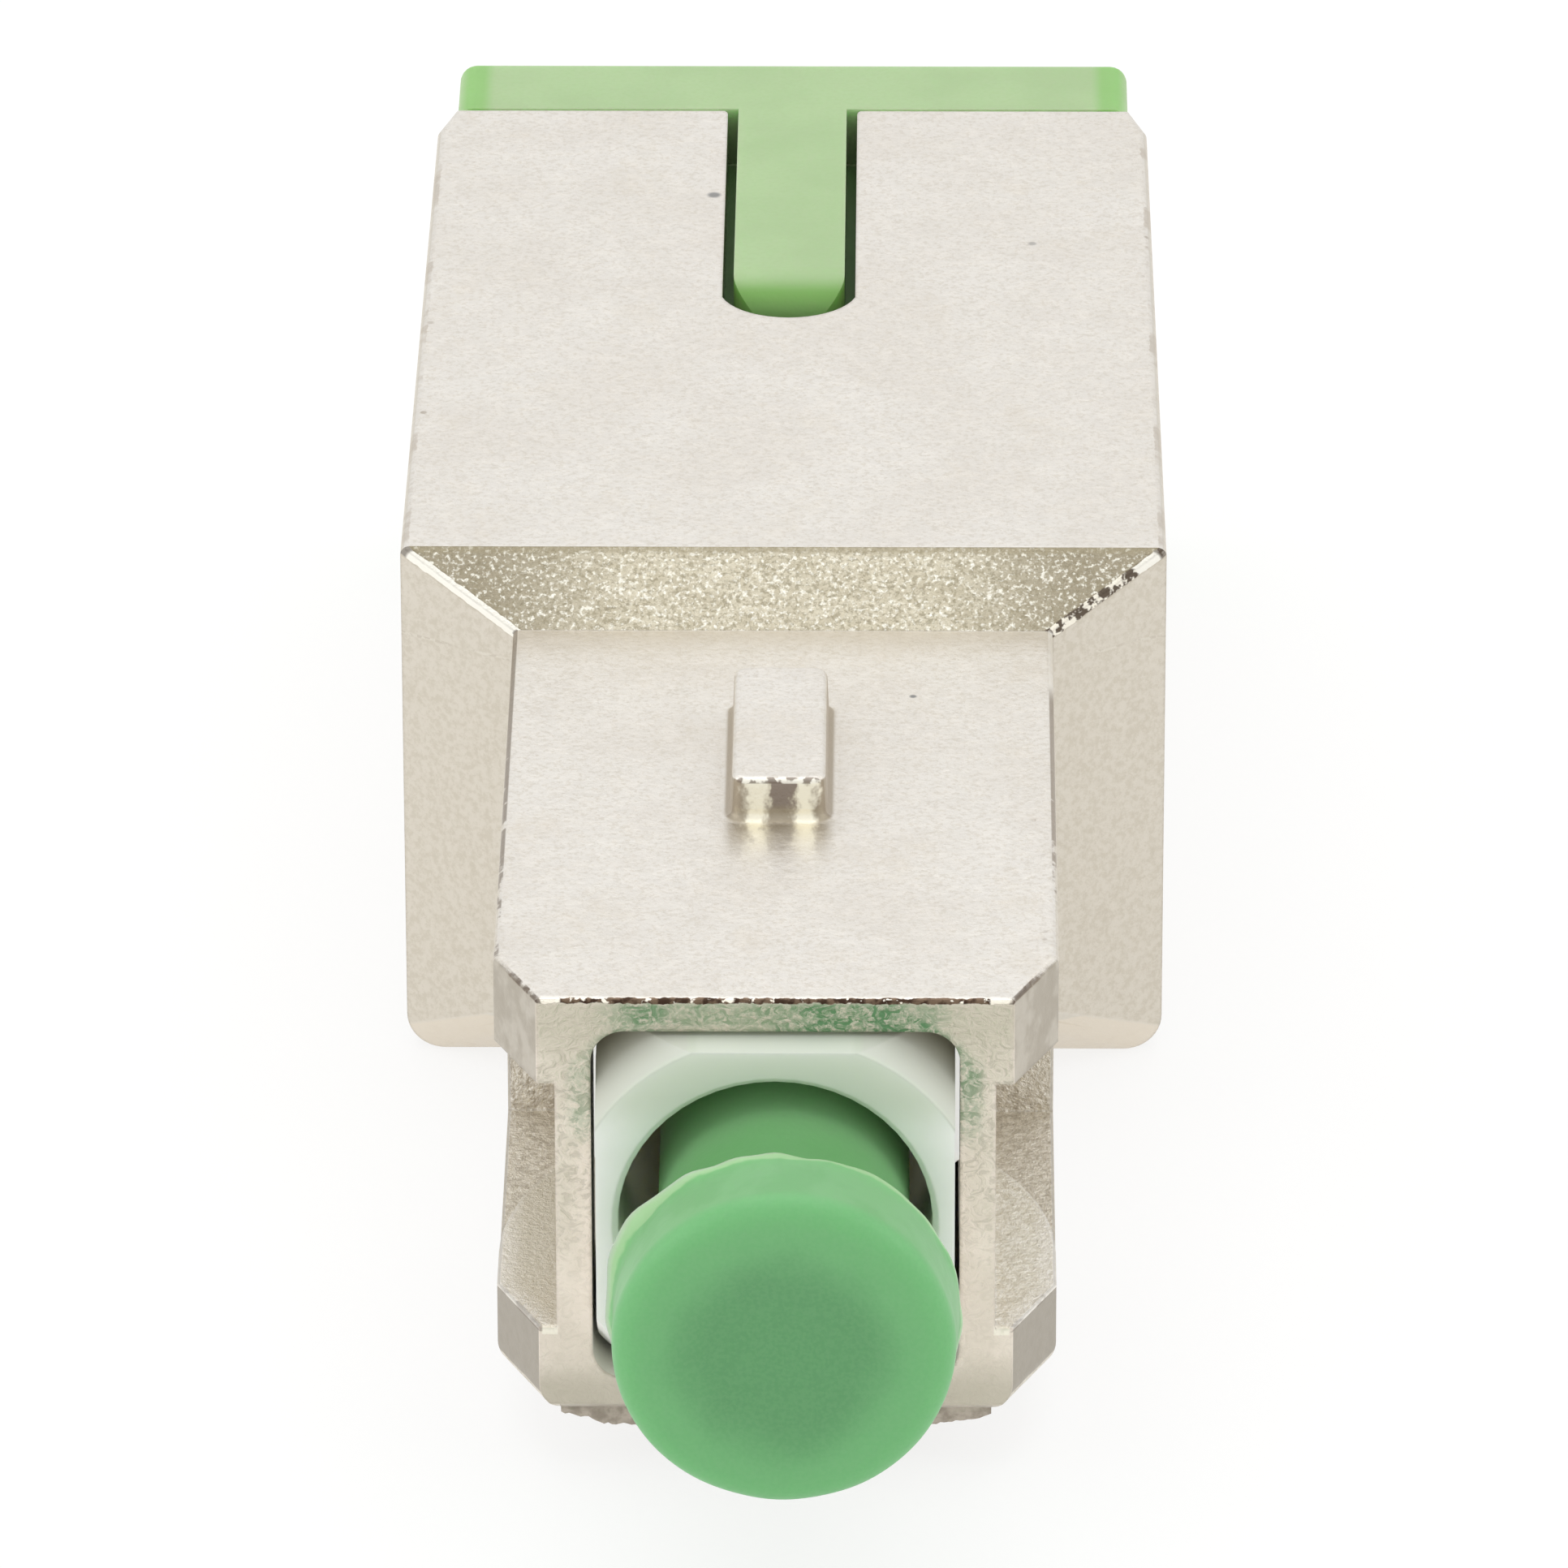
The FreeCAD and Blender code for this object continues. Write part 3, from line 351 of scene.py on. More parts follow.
class Housing:
    """Where a point lies on the housing: masks for its faces, edges and recesses."""

    def __init__(self, s):
        self.s = s
        self.across = s.calc("ABSOLUTE", s.x)
        self.left = s.below(s.x, 0.0, 0.01)
        self.right = s.inverse(self.left)
        lead = s.calc("SUBTRACT", 1.0, s.calc("DIVIDE", s.y, LEAD_IN_LENGTH_MM), clamp=True)
        rise = s.calc("DIVIDE", s.calc("SUBTRACT", s.y, PLUG_LENGTH_MM), SHOULDER_LENGTH_MM, clamp=True)
        body_length = BODY_END_MM - SHOULDER_END_MM
        taper = s.calc("DIVIDE", s.calc("SUBTRACT", s.y, SHOULDER_END_MM), body_length, clamp=True)
        half_w = s.level(rise, PLUG_HALF_W_MM, BODY_HALF_W_MM)
        half_w = s.calc("SUBTRACT", half_w, s.calc("MULTIPLY", lead, LEAD_IN_DEPTH_MM))
        half_w = s.calc("SUBTRACT", half_w, s.calc("MULTIPLY", taper, BODY_TAPER_MM))
        half_h = s.level(rise, PLUG_HALF_H_MM, BODY_HALF_H_MM)
        self.from_side = s.calc("SUBTRACT", half_w, self.across)
        self.from_top = s.calc("SUBTRACT", half_h, s.z)
        from_level = s.calc("SUBTRACT", half_h, s.calc("ABSOLUTE", s.z))
        self.corner = s.calc("MAXIMUM", self.from_side, from_level)
        depth = s.calc("MINIMUM", self.from_side, from_level)
        self.top = s.below(self.from_top, 0.02)
        self.side = s.all_of(s.below(self.from_side, 0.02), s.inverse(self.top))
        self.front = s.below(s.y, 0.02)
        self.slope = s.within(s.y, PLUG_LENGTH_MM, SHOULDER_END_MM, 0.02)
        self.on_plug = s.below(s.y, PLUG_LENGTH_MM, 0.02)
        self.upper = s.above(s.z, 0.0)
        self.inside = s.all_of(s.above(depth, 0.05), s.above(s.y, 0.05))
        self.beside = s.above(self.across, CHANNEL_FLOOR_MM - 0.03)
        level_ledge = s.within(s.z, -CHANNEL_HALF_H_MM - 0.03, -CHANNEL_HALF_H_MM + 0.03, 0.02)
        self.ledge = s.all_of(level_ledge, self.beside, s.below(s.y, LEDGE_END_MM + 0.05))
        self.pocket = s.all_of(self.inside, self.beside, s.below(s.y, POCKET_END_MM + 0.05))
        near = s.all_of(s.below(self.across, 3.0), s.below(s.y, 2.0, 0.5), s.above(s.y, 0.03, 0.02))
        self.mouth = s.all_of(near, s.below(s.calc("ABSOLUTE", s.z), OPENING_HALF_H_MM + 0.03))
        self.lead_in = s.all_of(s.below(s.y, LEAD_IN_LENGTH_MM), self.side)

    def long_edge(self, ragged_mm):
        """The rounded long edges, with a ragged limit."""
        s = self.s
        shifted = s.calc("ADD", self.corner, s.calc("MULTIPLY", s.noise(6.0, 3.0), ragged_mm))
        return s.all_of(s.below(shifted, EDGE_MM + ragged_mm / 2, 0.02), self.upper)

    def front_top_edge(self):
        """The thin rounded edge between the front and the plug's top."""
        s = self.s
        reach = s.calc("MAXIMUM", s.y, self.from_top)
        reach = s.calc("ADD", reach, s.calc("MULTIPLY", s.noise(7.0, 3.0), 0.10))
        return s.all_of(s.below(reach, 0.115, 0.02), s.above(self.from_top, 0.004, 0.004))


def flat_tone(s, place):
    """Pearly satin of the level faces, with soft clouds, fine grain, a few small marks and painted
    shade towards the foot of the shoulder's slope.
    """
    cloud = s.ramp(s.noise(0.40, 3.0, 0.6), 0.35, 0.65)
    tone = s.blend(cloud, linear(241, 237, 230), linear(237, 232, 224))
    grain = s.ramp(s.noise(11.0, 3.0, 0.75), 0.46, 0.66)
    tone = s.over(tone, grain, (222, 215, 203), 0.65)
    warm = s.ramp(s.noise(0.9, 4.0, 0.65, s.stretched((1.0, 0.6, 1.0))), 0.55, 0.70)
    tone = s.over(tone, warm, (228, 218, 200), 0.18)
    # Painted shade: darker towards the foot of the shoulder's slope.
    foot = s.all_of(place.on_plug, s.ramp(s.y, PLUG_LENGTH_MM - 1.3, PLUG_LENGTH_MM))
    tone = s.over(tone, foot, (206, 197, 182), 0.55)
    near_rim = s.ramp(place.from_side, 0.55, 0.10)
    freckles = s.all_of(s.grains(7.0, 0.16), near_rim, s.ramp(s.noise(1.6, 2.0), 0.42, 0.58))
    tone = s.over(tone, freckles, (158, 142, 122), 0.75)
    marks = [s.calc("MULTIPLY", s.spot(x, y, radius), strength) for x, y, radius, strength in MARKS_MM]
    return s.over(tone, s.either(*marks), (120, 122, 124))


def side_tone(s, place):
    """Smoother, slightly darker sides, with the faint line that the mould left, and painted shade on
    the lead-in's sides.
    """
    grain = s.ramp(s.noise(8.0, 3.0, 0.75), 0.40, 0.64)
    tone = s.blend(s.calc("MULTIPLY", grain, 0.7), linear(222, 215, 202), linear(208, 200, 184))
    # Painted shade: the lead-in's sides get darker tones, darker still towards their bottom.
    lead = s.mottled(s.noise(2.0, 3.0), 0.4, 0.6, (199, 192, 179), (183, 175, 161))
    lead = s.over(lead, s.ramp(s.z, -0.2, -1.8), (176, 169, 157))
    tone = s.blend(place.lead_in, tone, lead)
    lift = s.calc("MULTIPLY", s.noise(1.6, 3.0), 0.16)
    line = s.calc("ABSOLUTE", s.calc("SUBTRACT", s.calc("ADD", s.z, lift), WITNESS_LINE_MM + 0.08))
    broken = s.ramp(s.noise(2.2, 2.0), 0.42, 0.56)
    seam = s.all_of(s.below(line, 0.01, 0.03), place.slope, broken)
    seam_tone = s.mottled(s.noise(8.0, 2.0), 0.45, 0.55, (172, 160, 140), (244, 240, 230))
    return s.blend(s.calc("MULTIPLY", seam, 0.28), tone, seam_tone)


def slope_tone(s, sparks):
    """Top slope of the shoulder, as cast: olive grey, with its grains painted bright as glints."""
    tone = s.mottled(s.noise(3.0, 3.0, 0.7), 0.38, 0.62, (206, 198, 176), (220, 213, 193))
    outer = s.ramp(s.calc("ABSOLUTE", s.x), 2.2, 5.2)
    tone = s.over(tone, outer, (168, 159, 138), 0.95)
    dim = s.ramp(s.noise(13.0, 2.0, 0.6, s.vector("ADD", s.place, (3.1, 1.7, 0.4))), 0.52, 0.38)
    tone = s.over(tone, dim, (156, 147, 122), 0.55)
    # Painted glints: the sparkling grains laid on as a near-white colour.
    tone = s.over(tone, sparks, (255, 253, 242), 0.75)
    upper_line = s.above(s.y, SHOULDER_END_MM - 0.05, 0.06)
    return s.over(tone, upper_line, (170, 160, 134), 0.6)


def front_green_patches(s, place, worms):
    """Green patches on the front, broken by its grain: above the opening and along its upper corners.
    """
    over = s.all_of(
        s.within(s.z, OPENING_HALF_H_MM + 0.16, PLUG_HALF_H_MM - 0.14, 0.14),
        s.below(place.across, 1.9, 1.2),
    )
    past_side = s.calc("SUBTRACT", place.across, OPENING_HALF_W_MM)
    past_top = s.calc("SUBTRACT", s.z, OPENING_HALF_H_MM)
    past_corner = s.calc("MULTIPLY", s.calc("ADD", s.calc("ADD", past_side, past_top), 0.75), 0.71)
    from_opening = s.calc("MAXIMUM", s.calc("MAXIMUM", past_side, past_top), past_corner)
    along = s.all_of(
        s.below(from_opening, 0.20, 0.26),
        s.above(s.z, 1.8, 0.9),
        s.level(place.left, 1.0, 0.6),
    )
    rough = s.ramp(s.noise(7.0, 4.0, 0.75), 0.36, 0.60)
    grain = s.either(s.ramp(worms, 0.57, 0.41), s.calc("MULTIPLY", rough, 0.8))
    amount = s.level(s.ramp(s.noise(0.8, 2.0), 0.38, 0.60), 0.50, 0.88)
    return s.all_of(s.either(over, along), grain, amount)


def front_tone(s, place, worms):
    """Front face, as cast: greenish grey with a worm-like grain, cleaner on its legs."""
    clean = s.ramp(s.z, 0.6, -1.6)
    valley = s.level(clean, 0.34, 0.10)
    tone = s.mottled(s.noise(1.1, 2.0), 0.4, 0.6, (247, 238, 227), (240, 231, 219))
    tone = s.over(tone, s.calc("MULTIPLY", s.ramp(worms, 0.52, 0.40), valley), (188, 180, 164))
    head = s.ramp(s.z, 2.2, 3.3)
    tone = s.over(tone, head, (222, 214, 199), 0.8)
    foot = s.ramp(s.z, -2.5, -3.4)
    tone = s.over(tone, foot, (200, 194, 178), 0.7)
    return s.over(tone, front_green_patches(s, place, worms), (92, 150, 100))


def pocket_tone(s, place, sparks):
    """Side channels: brownish rough casting with painted glints, and the lighter ledges on their
    floors, the left one in painted shade, with a painted highlight along their outer rims.
    """
    tone = s.mottled(s.noise(6.0, 4.0, 0.7), 0.38, 0.62, (236, 230, 218), (206, 198, 184))
    # Painted highlight: a lighter strip on the outer part of the right channel's rear wall.
    strip = s.above(place.across, PLUG_HALF_W_MM - 0.32, 0.02)
    wall = s.above(s.y, POCKET_END_MM - 0.03)
    tone = s.over(tone, s.all_of(strip, wall, place.right), (224, 217, 203))
    # Painted glints on the casting's grains.
    tone = s.over(tone, sparks, (252, 248, 236), 0.6)
    ledge = s.mottled(s.noise(7.0, 3.0, 0.7), 0.4, 0.6, (250, 246, 236), (232, 226, 212))
    # Painted shade: the left ledge darker than the right.
    ledge = s.over(ledge, place.left, (222, 215, 200))
    # Painted highlight along the ledges' outer rims.
    rim = s.ramp(place.from_side, 0.45, 0.05)
    ledge = s.over(ledge, rim, (246, 242, 235), 0.7)
    return s.blend(place.ledge, tone, ledge)


def key_painted_reflection(s):
    """Painted reflections on the key's shiny front: its pale patches, and the front's tones with a dark
    middle.
    """
    drawn = s.noise(3.4, 3.0, 0.65, s.stretched((1.0, 0.5, 0.8)))
    x = s.calc("ADD", s.x, s.calc("MULTIPLY", s.calc("SUBTRACT", drawn, 0.5), 0.75))
    from_middle = s.calc("ABSOLUTE", s.calc("SUBTRACT", x, 0.03))
    patch = s.below(s.calc("ABSOLUTE", s.calc("SUBTRACT", from_middle, 0.39)), 0.06, 0.24)
    mirror = s.blend(patch, linear(166, 155, 138), linear(255, 252, 236))
    middle = s.all_of(s.below(from_middle, 0.14, 0.08), s.above(s.z, KEY_TOP_MM - 0.42, 0.15))
    mirror = s.over(mirror, middle, (152, 141, 132))
    return patch, mirror


def key_tone(s, place, tone):
    """The key: painted reflections on its shiny front, two pale patches round a dark one, the same
    painted again as a reflection in the face before it, and painted shade on its walls.
    """
    patch, mirror = key_painted_reflection(s)
    on_key = s.all_of(s.above(s.z, PLUG_HALF_H_MM + 0.03), place.on_plug)
    # Painted shade: the key's walls darker than its top, with the front's painted reflection on them.
    wall = s.all_of(on_key, s.below(s.z, KEY_TOP_MM - 0.07))
    tone = s.over(tone, wall, (190, 180, 165))
    tone = s.blend(s.all_of(wall, s.below(s.y, KEY_START_MM + 0.16)), tone, mirror)
    # Painted reflection along the key's front top lip, dark and bright.
    lip = s.all_of(on_key, s.below(s.y, KEY_START_MM + 0.10), s.above(s.z, KEY_TOP_MM - 0.07))
    lip_reflection = s.mottled(s.noise(5.0, 2.0), 0.46, 0.54, (128, 115, 102), (255, 252, 240))
    tone = s.blend(s.calc("MULTIPLY", lip, 0.8), tone, lip_reflection)
    # Painted reflection of the key's front in the top face before it.
    before = s.all_of(
        place.top,
        s.below(s.z, PLUG_HALF_H_MM + 0.2),
        s.below(place.across, KEY_HALF_W_MM - 0.1, 0.25),
        s.ramp(s.y, KEY_START_MM - 1.7, KEY_START_MM - 0.15),
        s.below(s.y, KEY_START_MM + 0.1),
    )
    glow = s.blend(patch, linear(176, 166, 146), linear(255, 249, 228))
    return s.blend(s.calc("MULTIPLY", before, 0.65), tone, glow)


def mitre_tone(s, place, edge, tone):
    """The shoulder's slanting edges: a painted highlight line on the left, a speckled painted
    reflection on the right.
    """
    # Painted highlights and reflections along the mitres, with a darker painted line at their upper
    # tip.
    mitre = s.all_of(edge, place.slope)
    bright = linear(255, 253, 246)
    tone = s.blend(s.all_of(mitre, place.left), tone, bright)
    patches = s.ramp(s.noise(7.0, 2.0, 0.6), 0.44, 0.56)
    speckled_reflection = s.blend(patches, linear(120, 108, 95), linear(255, 251, 240))
    upper_end = s.within(s.y, SHOULDER_END_MM - 0.26, SHOULDER_END_MM - 0.06)
    speckled_reflection = s.blend(upper_end, speckled_reflection, bright)
    tone = s.blend(s.all_of(mitre, place.right), tone, speckled_reflection)
    tip = s.above(s.y, SHOULDER_END_MM - 0.04, 0.03)
    return s.over(tone, s.all_of(mitre, tip), (120, 108, 95), 0.7)


def edge_tone(s, place, tone):
    """Long edges: painted shade along the plug's, a painted highlight on the right one near the
    shoulder, and darker broken patches along the body's.
    """
    edge = place.long_edge(0.08)
    thin = s.all_of(edge, s.below(place.corner, 0.07, 0.02))
    tone = mitre_tone(s, place, edge, tone)
    fading = s.level(s.ramp(s.y, 1.5, 12.5), 0.62, 0.25)
    kept = s.ramp(s.noise(1.9, 3.0, 0.7), s.calc("SUBTRACT", fading, 0.10), fading)
    plug_edge = s.all_of(thin, place.on_plug, kept, 0.75)
    # Painted shade along the plug's left long edge, broken in places.
    tone = s.over(tone, s.all_of(plug_edge, place.left), (140, 127, 113))
    # Right plug edge: painted shade, turning to a painted highlight near the shoulder.
    shine = s.above(s.y, 11.6, 0.8)
    right_edge = s.blend(shine, linear(156, 143, 128), linear(250, 247, 240))
    tone = s.blend(s.all_of(plug_edge, place.right), tone, right_edge)
    on_body = s.above(s.y, SHOULDER_END_MM + 0.1)
    body_edge = s.all_of(edge, on_body, s.ramp(s.noise(1.2, 3.0), 0.48, 0.60))
    return s.over(tone, body_edge, (196, 184, 168), 0.5)


def front_edge_tone(s, place, tone):
    """The dark line along the front's top edge with painted highlights on it, darker lines on the
    lead-in's upper corners and along the ledges' fronts, and painted highlights on the ledges' front
    corners.
    """
    line = place.front_top_edge()
    # A dark brown mottled line along the rounded edge.
    edge_dark = s.mottled(s.noise(6.0, 2.0), 0.4, 0.6, (74, 56, 44), (128, 108, 90))
    tone = s.blend(line, tone, edge_dark)
    # Painted highlights on the front's top edge: at the ledges' ends and in small sparks along it.
    gleams = s.all_of(line, s.within(place.across, 3.42, 3.74, 0.04))
    sparks = s.all_of(line, s.ramp(s.noise(3.6, 3.0, 0.7), 0.57, 0.62))
    tone = s.over(tone, s.either(gleams, sparks), (255, 249, 236))
    # Darker broken lines on the lead-in's upper corners.
    lead_edge = s.all_of(s.below(place.corner, 0.06, 0.03), place.upper, s.ramp(s.y, 1.5, 0.3))
    dark_share = s.calc("MULTIPLY", s.ramp(s.noise(4.0, 3.0, 0.7), 0.30, 0.55), 0.8)
    tone = s.over(tone, s.all_of(lead_edge, dark_share), (112, 97, 83))
    from_ledge = s.calc("ABSOLUTE", s.calc("ADD", s.z, CHANNEL_HALF_H_MM + 0.03))
    shore = s.all_of(
        s.below(from_ledge, 0.025, 0.02),
        s.below(s.y, 1.1, 0.4),
        place.beside,
        s.below(place.from_side, 0.06),
        s.ramp(s.noise(3.0, 3.0), 0.40, 0.52),
        0.4,
    )
    tone = s.over(tone, shore, (104, 88, 74))
    # Painted highlight on the ledges' front corners.
    corner = s.all_of(s.below(from_ledge, 0.07), s.below(s.y, 0.10), s.within(place.across, 3.50, 3.72))
    return s.over(tone, corner, (255, 250, 238))


def plate_tone(s, place, sparks, worms, top_slope):
    """Colour of the plating, face by face."""
    tone = s.blend(place.side, flat_tone(s, place), side_tone(s, place))
    tone = s.over(tone, s.all_of(place.inside, s.inverse(place.pocket)), (220, 214, 202))
    # Painted reflection of the white frame: the opening's walls given a pale, non-metal tone.
    tone = s.over(tone, place.mouth, (236, 235, 224))
    tone = s.blend(s.either(place.pocket, place.ledge), tone, pocket_tone(s, place, sparks))
    tone = s.blend(place.front, tone, front_tone(s, place, worms))
    tone = s.blend(top_slope, tone, slope_tone(s, sparks))
    # Painted reflection: the underside of the shoulder's slope gets its own tone for the floor's
    # reflected light.
    under = s.all_of(place.slope, s.below(s.z, -PLUG_HALF_H_MM, 0.05), s.inverse(place.side))
    tone = s.over(tone, under, (230, 221, 206))
    tone = key_tone(s, place, tone)
    tone = edge_tone(s, place, tone)
    tone = front_edge_tone(s, place, tone)
    return tone


def plate_roughness(s, place, sparks, top_slope):
    """Roughness of the plating: satin on the flats, matte where it is as cast."""
    satin = s.level(s.ramp(s.noise(5.0, 4.0), 0.4, 0.7), 0.42, 0.50)
    rough = s.either(place.pocket, place.front, top_slope)
    roughness = s.level(rough, satin, 0.55)
    roughness = s.level(place.front, roughness, 0.68)
    roughness = s.level(s.all_of(sparks, s.either(place.pocket, top_slope)), roughness, 0.30)
    mitre = s.all_of(place.slope, s.below(place.corner, 0.14, 0.03))
    roughness = s.level(mitre, roughness, 0.75)
    return roughness


def plate_normal(s, place, worms, top_slope):
    """Relief of the plating: soft edges, fine grain, and the grit and grooves of the rough faces."""
    normal = s.worn_edges(0.10)
    normal = s.bump(s.noise(9.0, 3.0, 0.7), 0.012, normal)
    normal = s.bump(s.noise(1.1, 2.0), 0.012, normal)
    grit = s.all_of(s.noise(9.0, 3.0, 0.7), s.either(top_slope, place.pocket))
    normal = s.bump(grit, 0.045, normal)
    groove = s.all_of(worms, place.front, s.level(s.ramp(s.z, 0.6, -1.6), 1.0, 0.5))
    normal = s.bump(groove, 0.045, normal)
    return normal


def nickel_plate():
    """Satin nickel on a die casting: pearly flats, a slope with painted glints, a rough front, and
    edges with painted shade and highlights.
    """
    s = Surface("nickel_plate")
    place = Housing(s)
    sparks = s.ramp(s.noise(13.5, 2.0, 0.6), 0.50, 0.70)
    worms = s.noise(4.2, 3.0, 0.6, s.stretched((1.0, 1.0, 1.3)), 1.6)
    top_slope = s.all_of(place.slope, place.top)

    s.set("Base Color", plate_tone(s, place, sparks, worms, top_slope))
    # Metallic kept low on the opening's walls, so that their pale painted reflection shows.
    s.set("Metallic", s.level(place.mouth, 0.9, 0.1))
    s.set("Roughness", plate_roughness(s, place, sparks, top_slope))
    s.set("Normal", plate_normal(s, place, worms, top_slope))
    return s.material


def cast_burr():
    """Dark rough flash left along the casting's lower front edge."""
    s = Surface("cast_burr", Metallic=0.9, Roughness=0.55)
    tone = s.mottled(s.noise(5.0, 3.0), 0.35, 0.65, (190, 180, 167), (160, 150, 137))
    s.set("Base Color", tone)
    s.set("Normal", s.bump(s.noise(8.0, 3.0), 0.04))
    return s.material


def white_plastic():
    """Milky moulded frame: a painted green bounce near the well, painted shade towards its top, and
    painted brown shade in the corners set back there.
    """
    s = Surface("white_plastic", Roughness=0.40)
    tone = s.mottled(s.noise(0.8, 3.0), 0.35, 0.65, (254, 255, 250), (247, 249, 243))
    radius = s.from_axis()
    # Painted green bounce light from the cap round the well, stronger towards the top.
    painted_green_bounce = s.all_of(s.ramp(radius, WELL_R_MM + 0.75, WELL_R_MM + 0.05), s.below(s.y, 1.5, 1.0))
    painted_green_bounce = s.all_of(painted_green_bounce, s.level(s.ramp(s.z, 0.5, 2.2), 0.10, 0.35))
    tone = s.over(tone, painted_green_bounce, (200, 226, 194))
    # Painted shade on the cone towards the top.
    cone_shade = s.all_of(s.above(radius, FRAME_FACE_R_MM, 0.05), s.above(s.z, 1.5, 1.0))
    tone = s.over(tone, cone_shade, (208, 212, 200))
    # Painted shade on the face ring near its top, greenish.
    crown_shade = s.all_of(s.within(radius, WELL_R_MM, FRAME_FACE_R_MM, 0.05), s.above(s.z, 2.3, 0.9))
    tone = s.over(tone, crown_shade, (210, 218, 202), 0.85)
    # Painted brown shade in the corners set back behind the face.
    set_back = s.ramp(radius, FRAME_FACE_R_MM + 0.02, FRAME_FACE_R_MM + 0.62)
    corner = s.all_of(set_back, s.above(s.y, FRAME_FACE_MM, 0.02), s.above(s.z, 0.5, 1.0))
    tone = s.over(tone, corner, (132, 122, 104), 0.85)
    well = s.all_of(s.below(radius, WELL_R_MM + 0.02), s.above(s.y, FRAME_FACE_MM + 0.25, 0.15))
    tone = s.over(tone, well, (255, 251, 236))
    s.set("Base Color", tone)
    s.set("Subsurface Weight", 0.35)
    s.set("Subsurface Radius", (1.0, 1.0, 0.8))
    s.set("Subsurface Scale", 1.4 * MM)
    s.set("Normal", s.bump(s.noise(5.0, 3.0), 0.005, s.worn_edges(0.06)))
    return s.material


def waxy(name, tone_of, depth_mm, roughness):
    """Soft translucent moulding; tone_of gives its colour."""
    s = Surface(name)
    s.set("Base Color", tone_of(s))
    s.set("Roughness", s.level(s.noise(2.5, 3.0), roughness - 0.05, roughness + 0.08))
    s.set("Subsurface Weight", 0.55)
    s.set("Subsurface Radius", (0.5, 1.0, 0.5))
    s.set("Subsurface Scale", depth_mm * MM)
    normal = s.bump(s.noise(9.0, 3.0), 0.004)
    s.set("Normal", s.bump(s.noise(0.9, 2.0), 0.02, normal))
    return s.material


def cap_tone(s):
    """Green cap: darker in its dish, pale along its ragged rear rim, and painted light down its stem,
    lighter deeper in the well.
    """
    radius = s.from_axis(CAP_FRONT_SHIFT_MM)
    wander = s.calc("MULTIPLY", s.calc("SUBTRACT", s.noise(0.8, 3.0), 0.5), 0.7)
    ring = s.ramp(s.calc("ADD", radius, wander), 1.15, 2.15)
    tone = s.blend(ring, linear(93, 156, 100), linear(112, 180, 117))
    fine = s.ramp(s.noise(14.0, 2.0), 0.35, 0.65)
    tone = s.over(tone, fine, (132, 190, 132), 0.15)
    behind = s.above(s.y, CAP_FRONT_MM + 0.5, 0.3)
    side = s.mottled(s.noise(1.2, 3.0), 0.4, 0.6, (124, 181, 124), (117, 176, 117))
    tone = s.blend(behind, tone, side)
    rim_place = s.calc("ADD", s.y, s.calc("MULTIPLY", s.noise(1.5, 3.0), 0.25))
    rim = s.within(rim_place, CAP_HEAD_REAR_MM + 0.04, CAP_HEAD_REAR_MM + 0.30, 0.06)
    tone = s.over(tone, rim, (176, 205, 160), 0.6)
    stem = s.above(s.y, CAP_HEAD_REAR_MM + 0.15, 0.1)
    # Painted light on the stem: lighter deeper in the well, where the frame shades it.
    painted_stem_light = s.ramp(s.y, -1.9, 0.4)
    stem_tone = s.blend(painted_stem_light, linear(97, 158, 95), linear(142, 194, 140))
    return s.blend(stem, tone, stem_tone)


def dust_tone(s):
    """Yellowish green socket plug: paler on its level faces, with painted shade where its ends turn
    away, down the tongue's end and deeper in the slot.
    """
    tone = s.mottled(s.noise(0.5, 3.0), 0.35, 0.65, (169, 196, 146), (163, 190, 140))
    across = s.calc("ABSOLUTE", s.x)
    fine = s.ramp(s.noise(10.0, 2.0), 0.40, 0.70)
    tone = s.over(tone, fine, (158, 187, 133), 0.25)
    # Painted shade: richer, darker green towards the collar's rounded ends.
    ends = s.within(across, COLLAR_HALF_W_MM - 0.42, COLLAR_HALF_W_MM - 0.20, 0.25)
    tone = s.over(tone, ends, (130, 186, 98), 0.75)
    in_slot = s.below(s.y, BODY_END_MM - 0.1)
    # Painted shade down the tongue's rounded end.
    drop = s.ramp(s.z, BODY_HALF_H_MM - 0.02, BODY_HALF_H_MM - 0.25)
    tongue = s.all_of(in_slot, s.below(across, TONGUE_HALF_W_MM + 0.1))
    tone = s.over(tone, s.all_of(drop, tongue), (128, 178, 92))
    # Painted shade deeper in the slot.
    slot_shade = s.ramp(s.z, BODY_HALF_H_MM - 0.25, BODY_HALF_H_MM - 0.85)
    return s.over(tone, s.all_of(slot_shade, in_slot), (112, 152, 92))


def insert_plastic():
    """Green moulding of the hooks and the sleeve tube."""
    s = Surface("insert_plastic", Roughness=0.4)
    tone = s.mottled(s.noise(1.2, 3.0), 0.35, 0.65, (118, 168, 112), (106, 158, 102))
    s.set("Base Color", tone)
    s.set("Normal", s.bump(s.noise(8.0, 3.0), 0.006, s.worn_edges(0.05)))
    return s.material


def zirconia():
    """Polished ceramic."""
    s = Surface("zirconia", Roughness=0.12)
    tone = s.mottled(s.noise(1.5, 2.0), 0.35, 0.65, (240, 240, 236), (234, 235, 231))
    s.set("Base Color", tone)
    s.set("Normal", s.bump(s.noise(20.0, 2.0), 0.001, s.worn_edges(0.03)))
    return s.material


def turned_metal(name, tones, rings):
    """Bright turned or drawn metal with fine marks round the axis."""
    s = Surface(name, Metallic=1.0)
    marks = s.noise(rings, 2.0, 0.6, s.stretched((0.2, 4.0, 0.2)))
    s.set("Base Color", s.mottled(marks, 0.35, 0.65, *tones))
    s.set("Roughness", s.level(marks, 0.22, 0.34))
    s.set("Normal", s.bump(marks, 0.003))
    return s.material


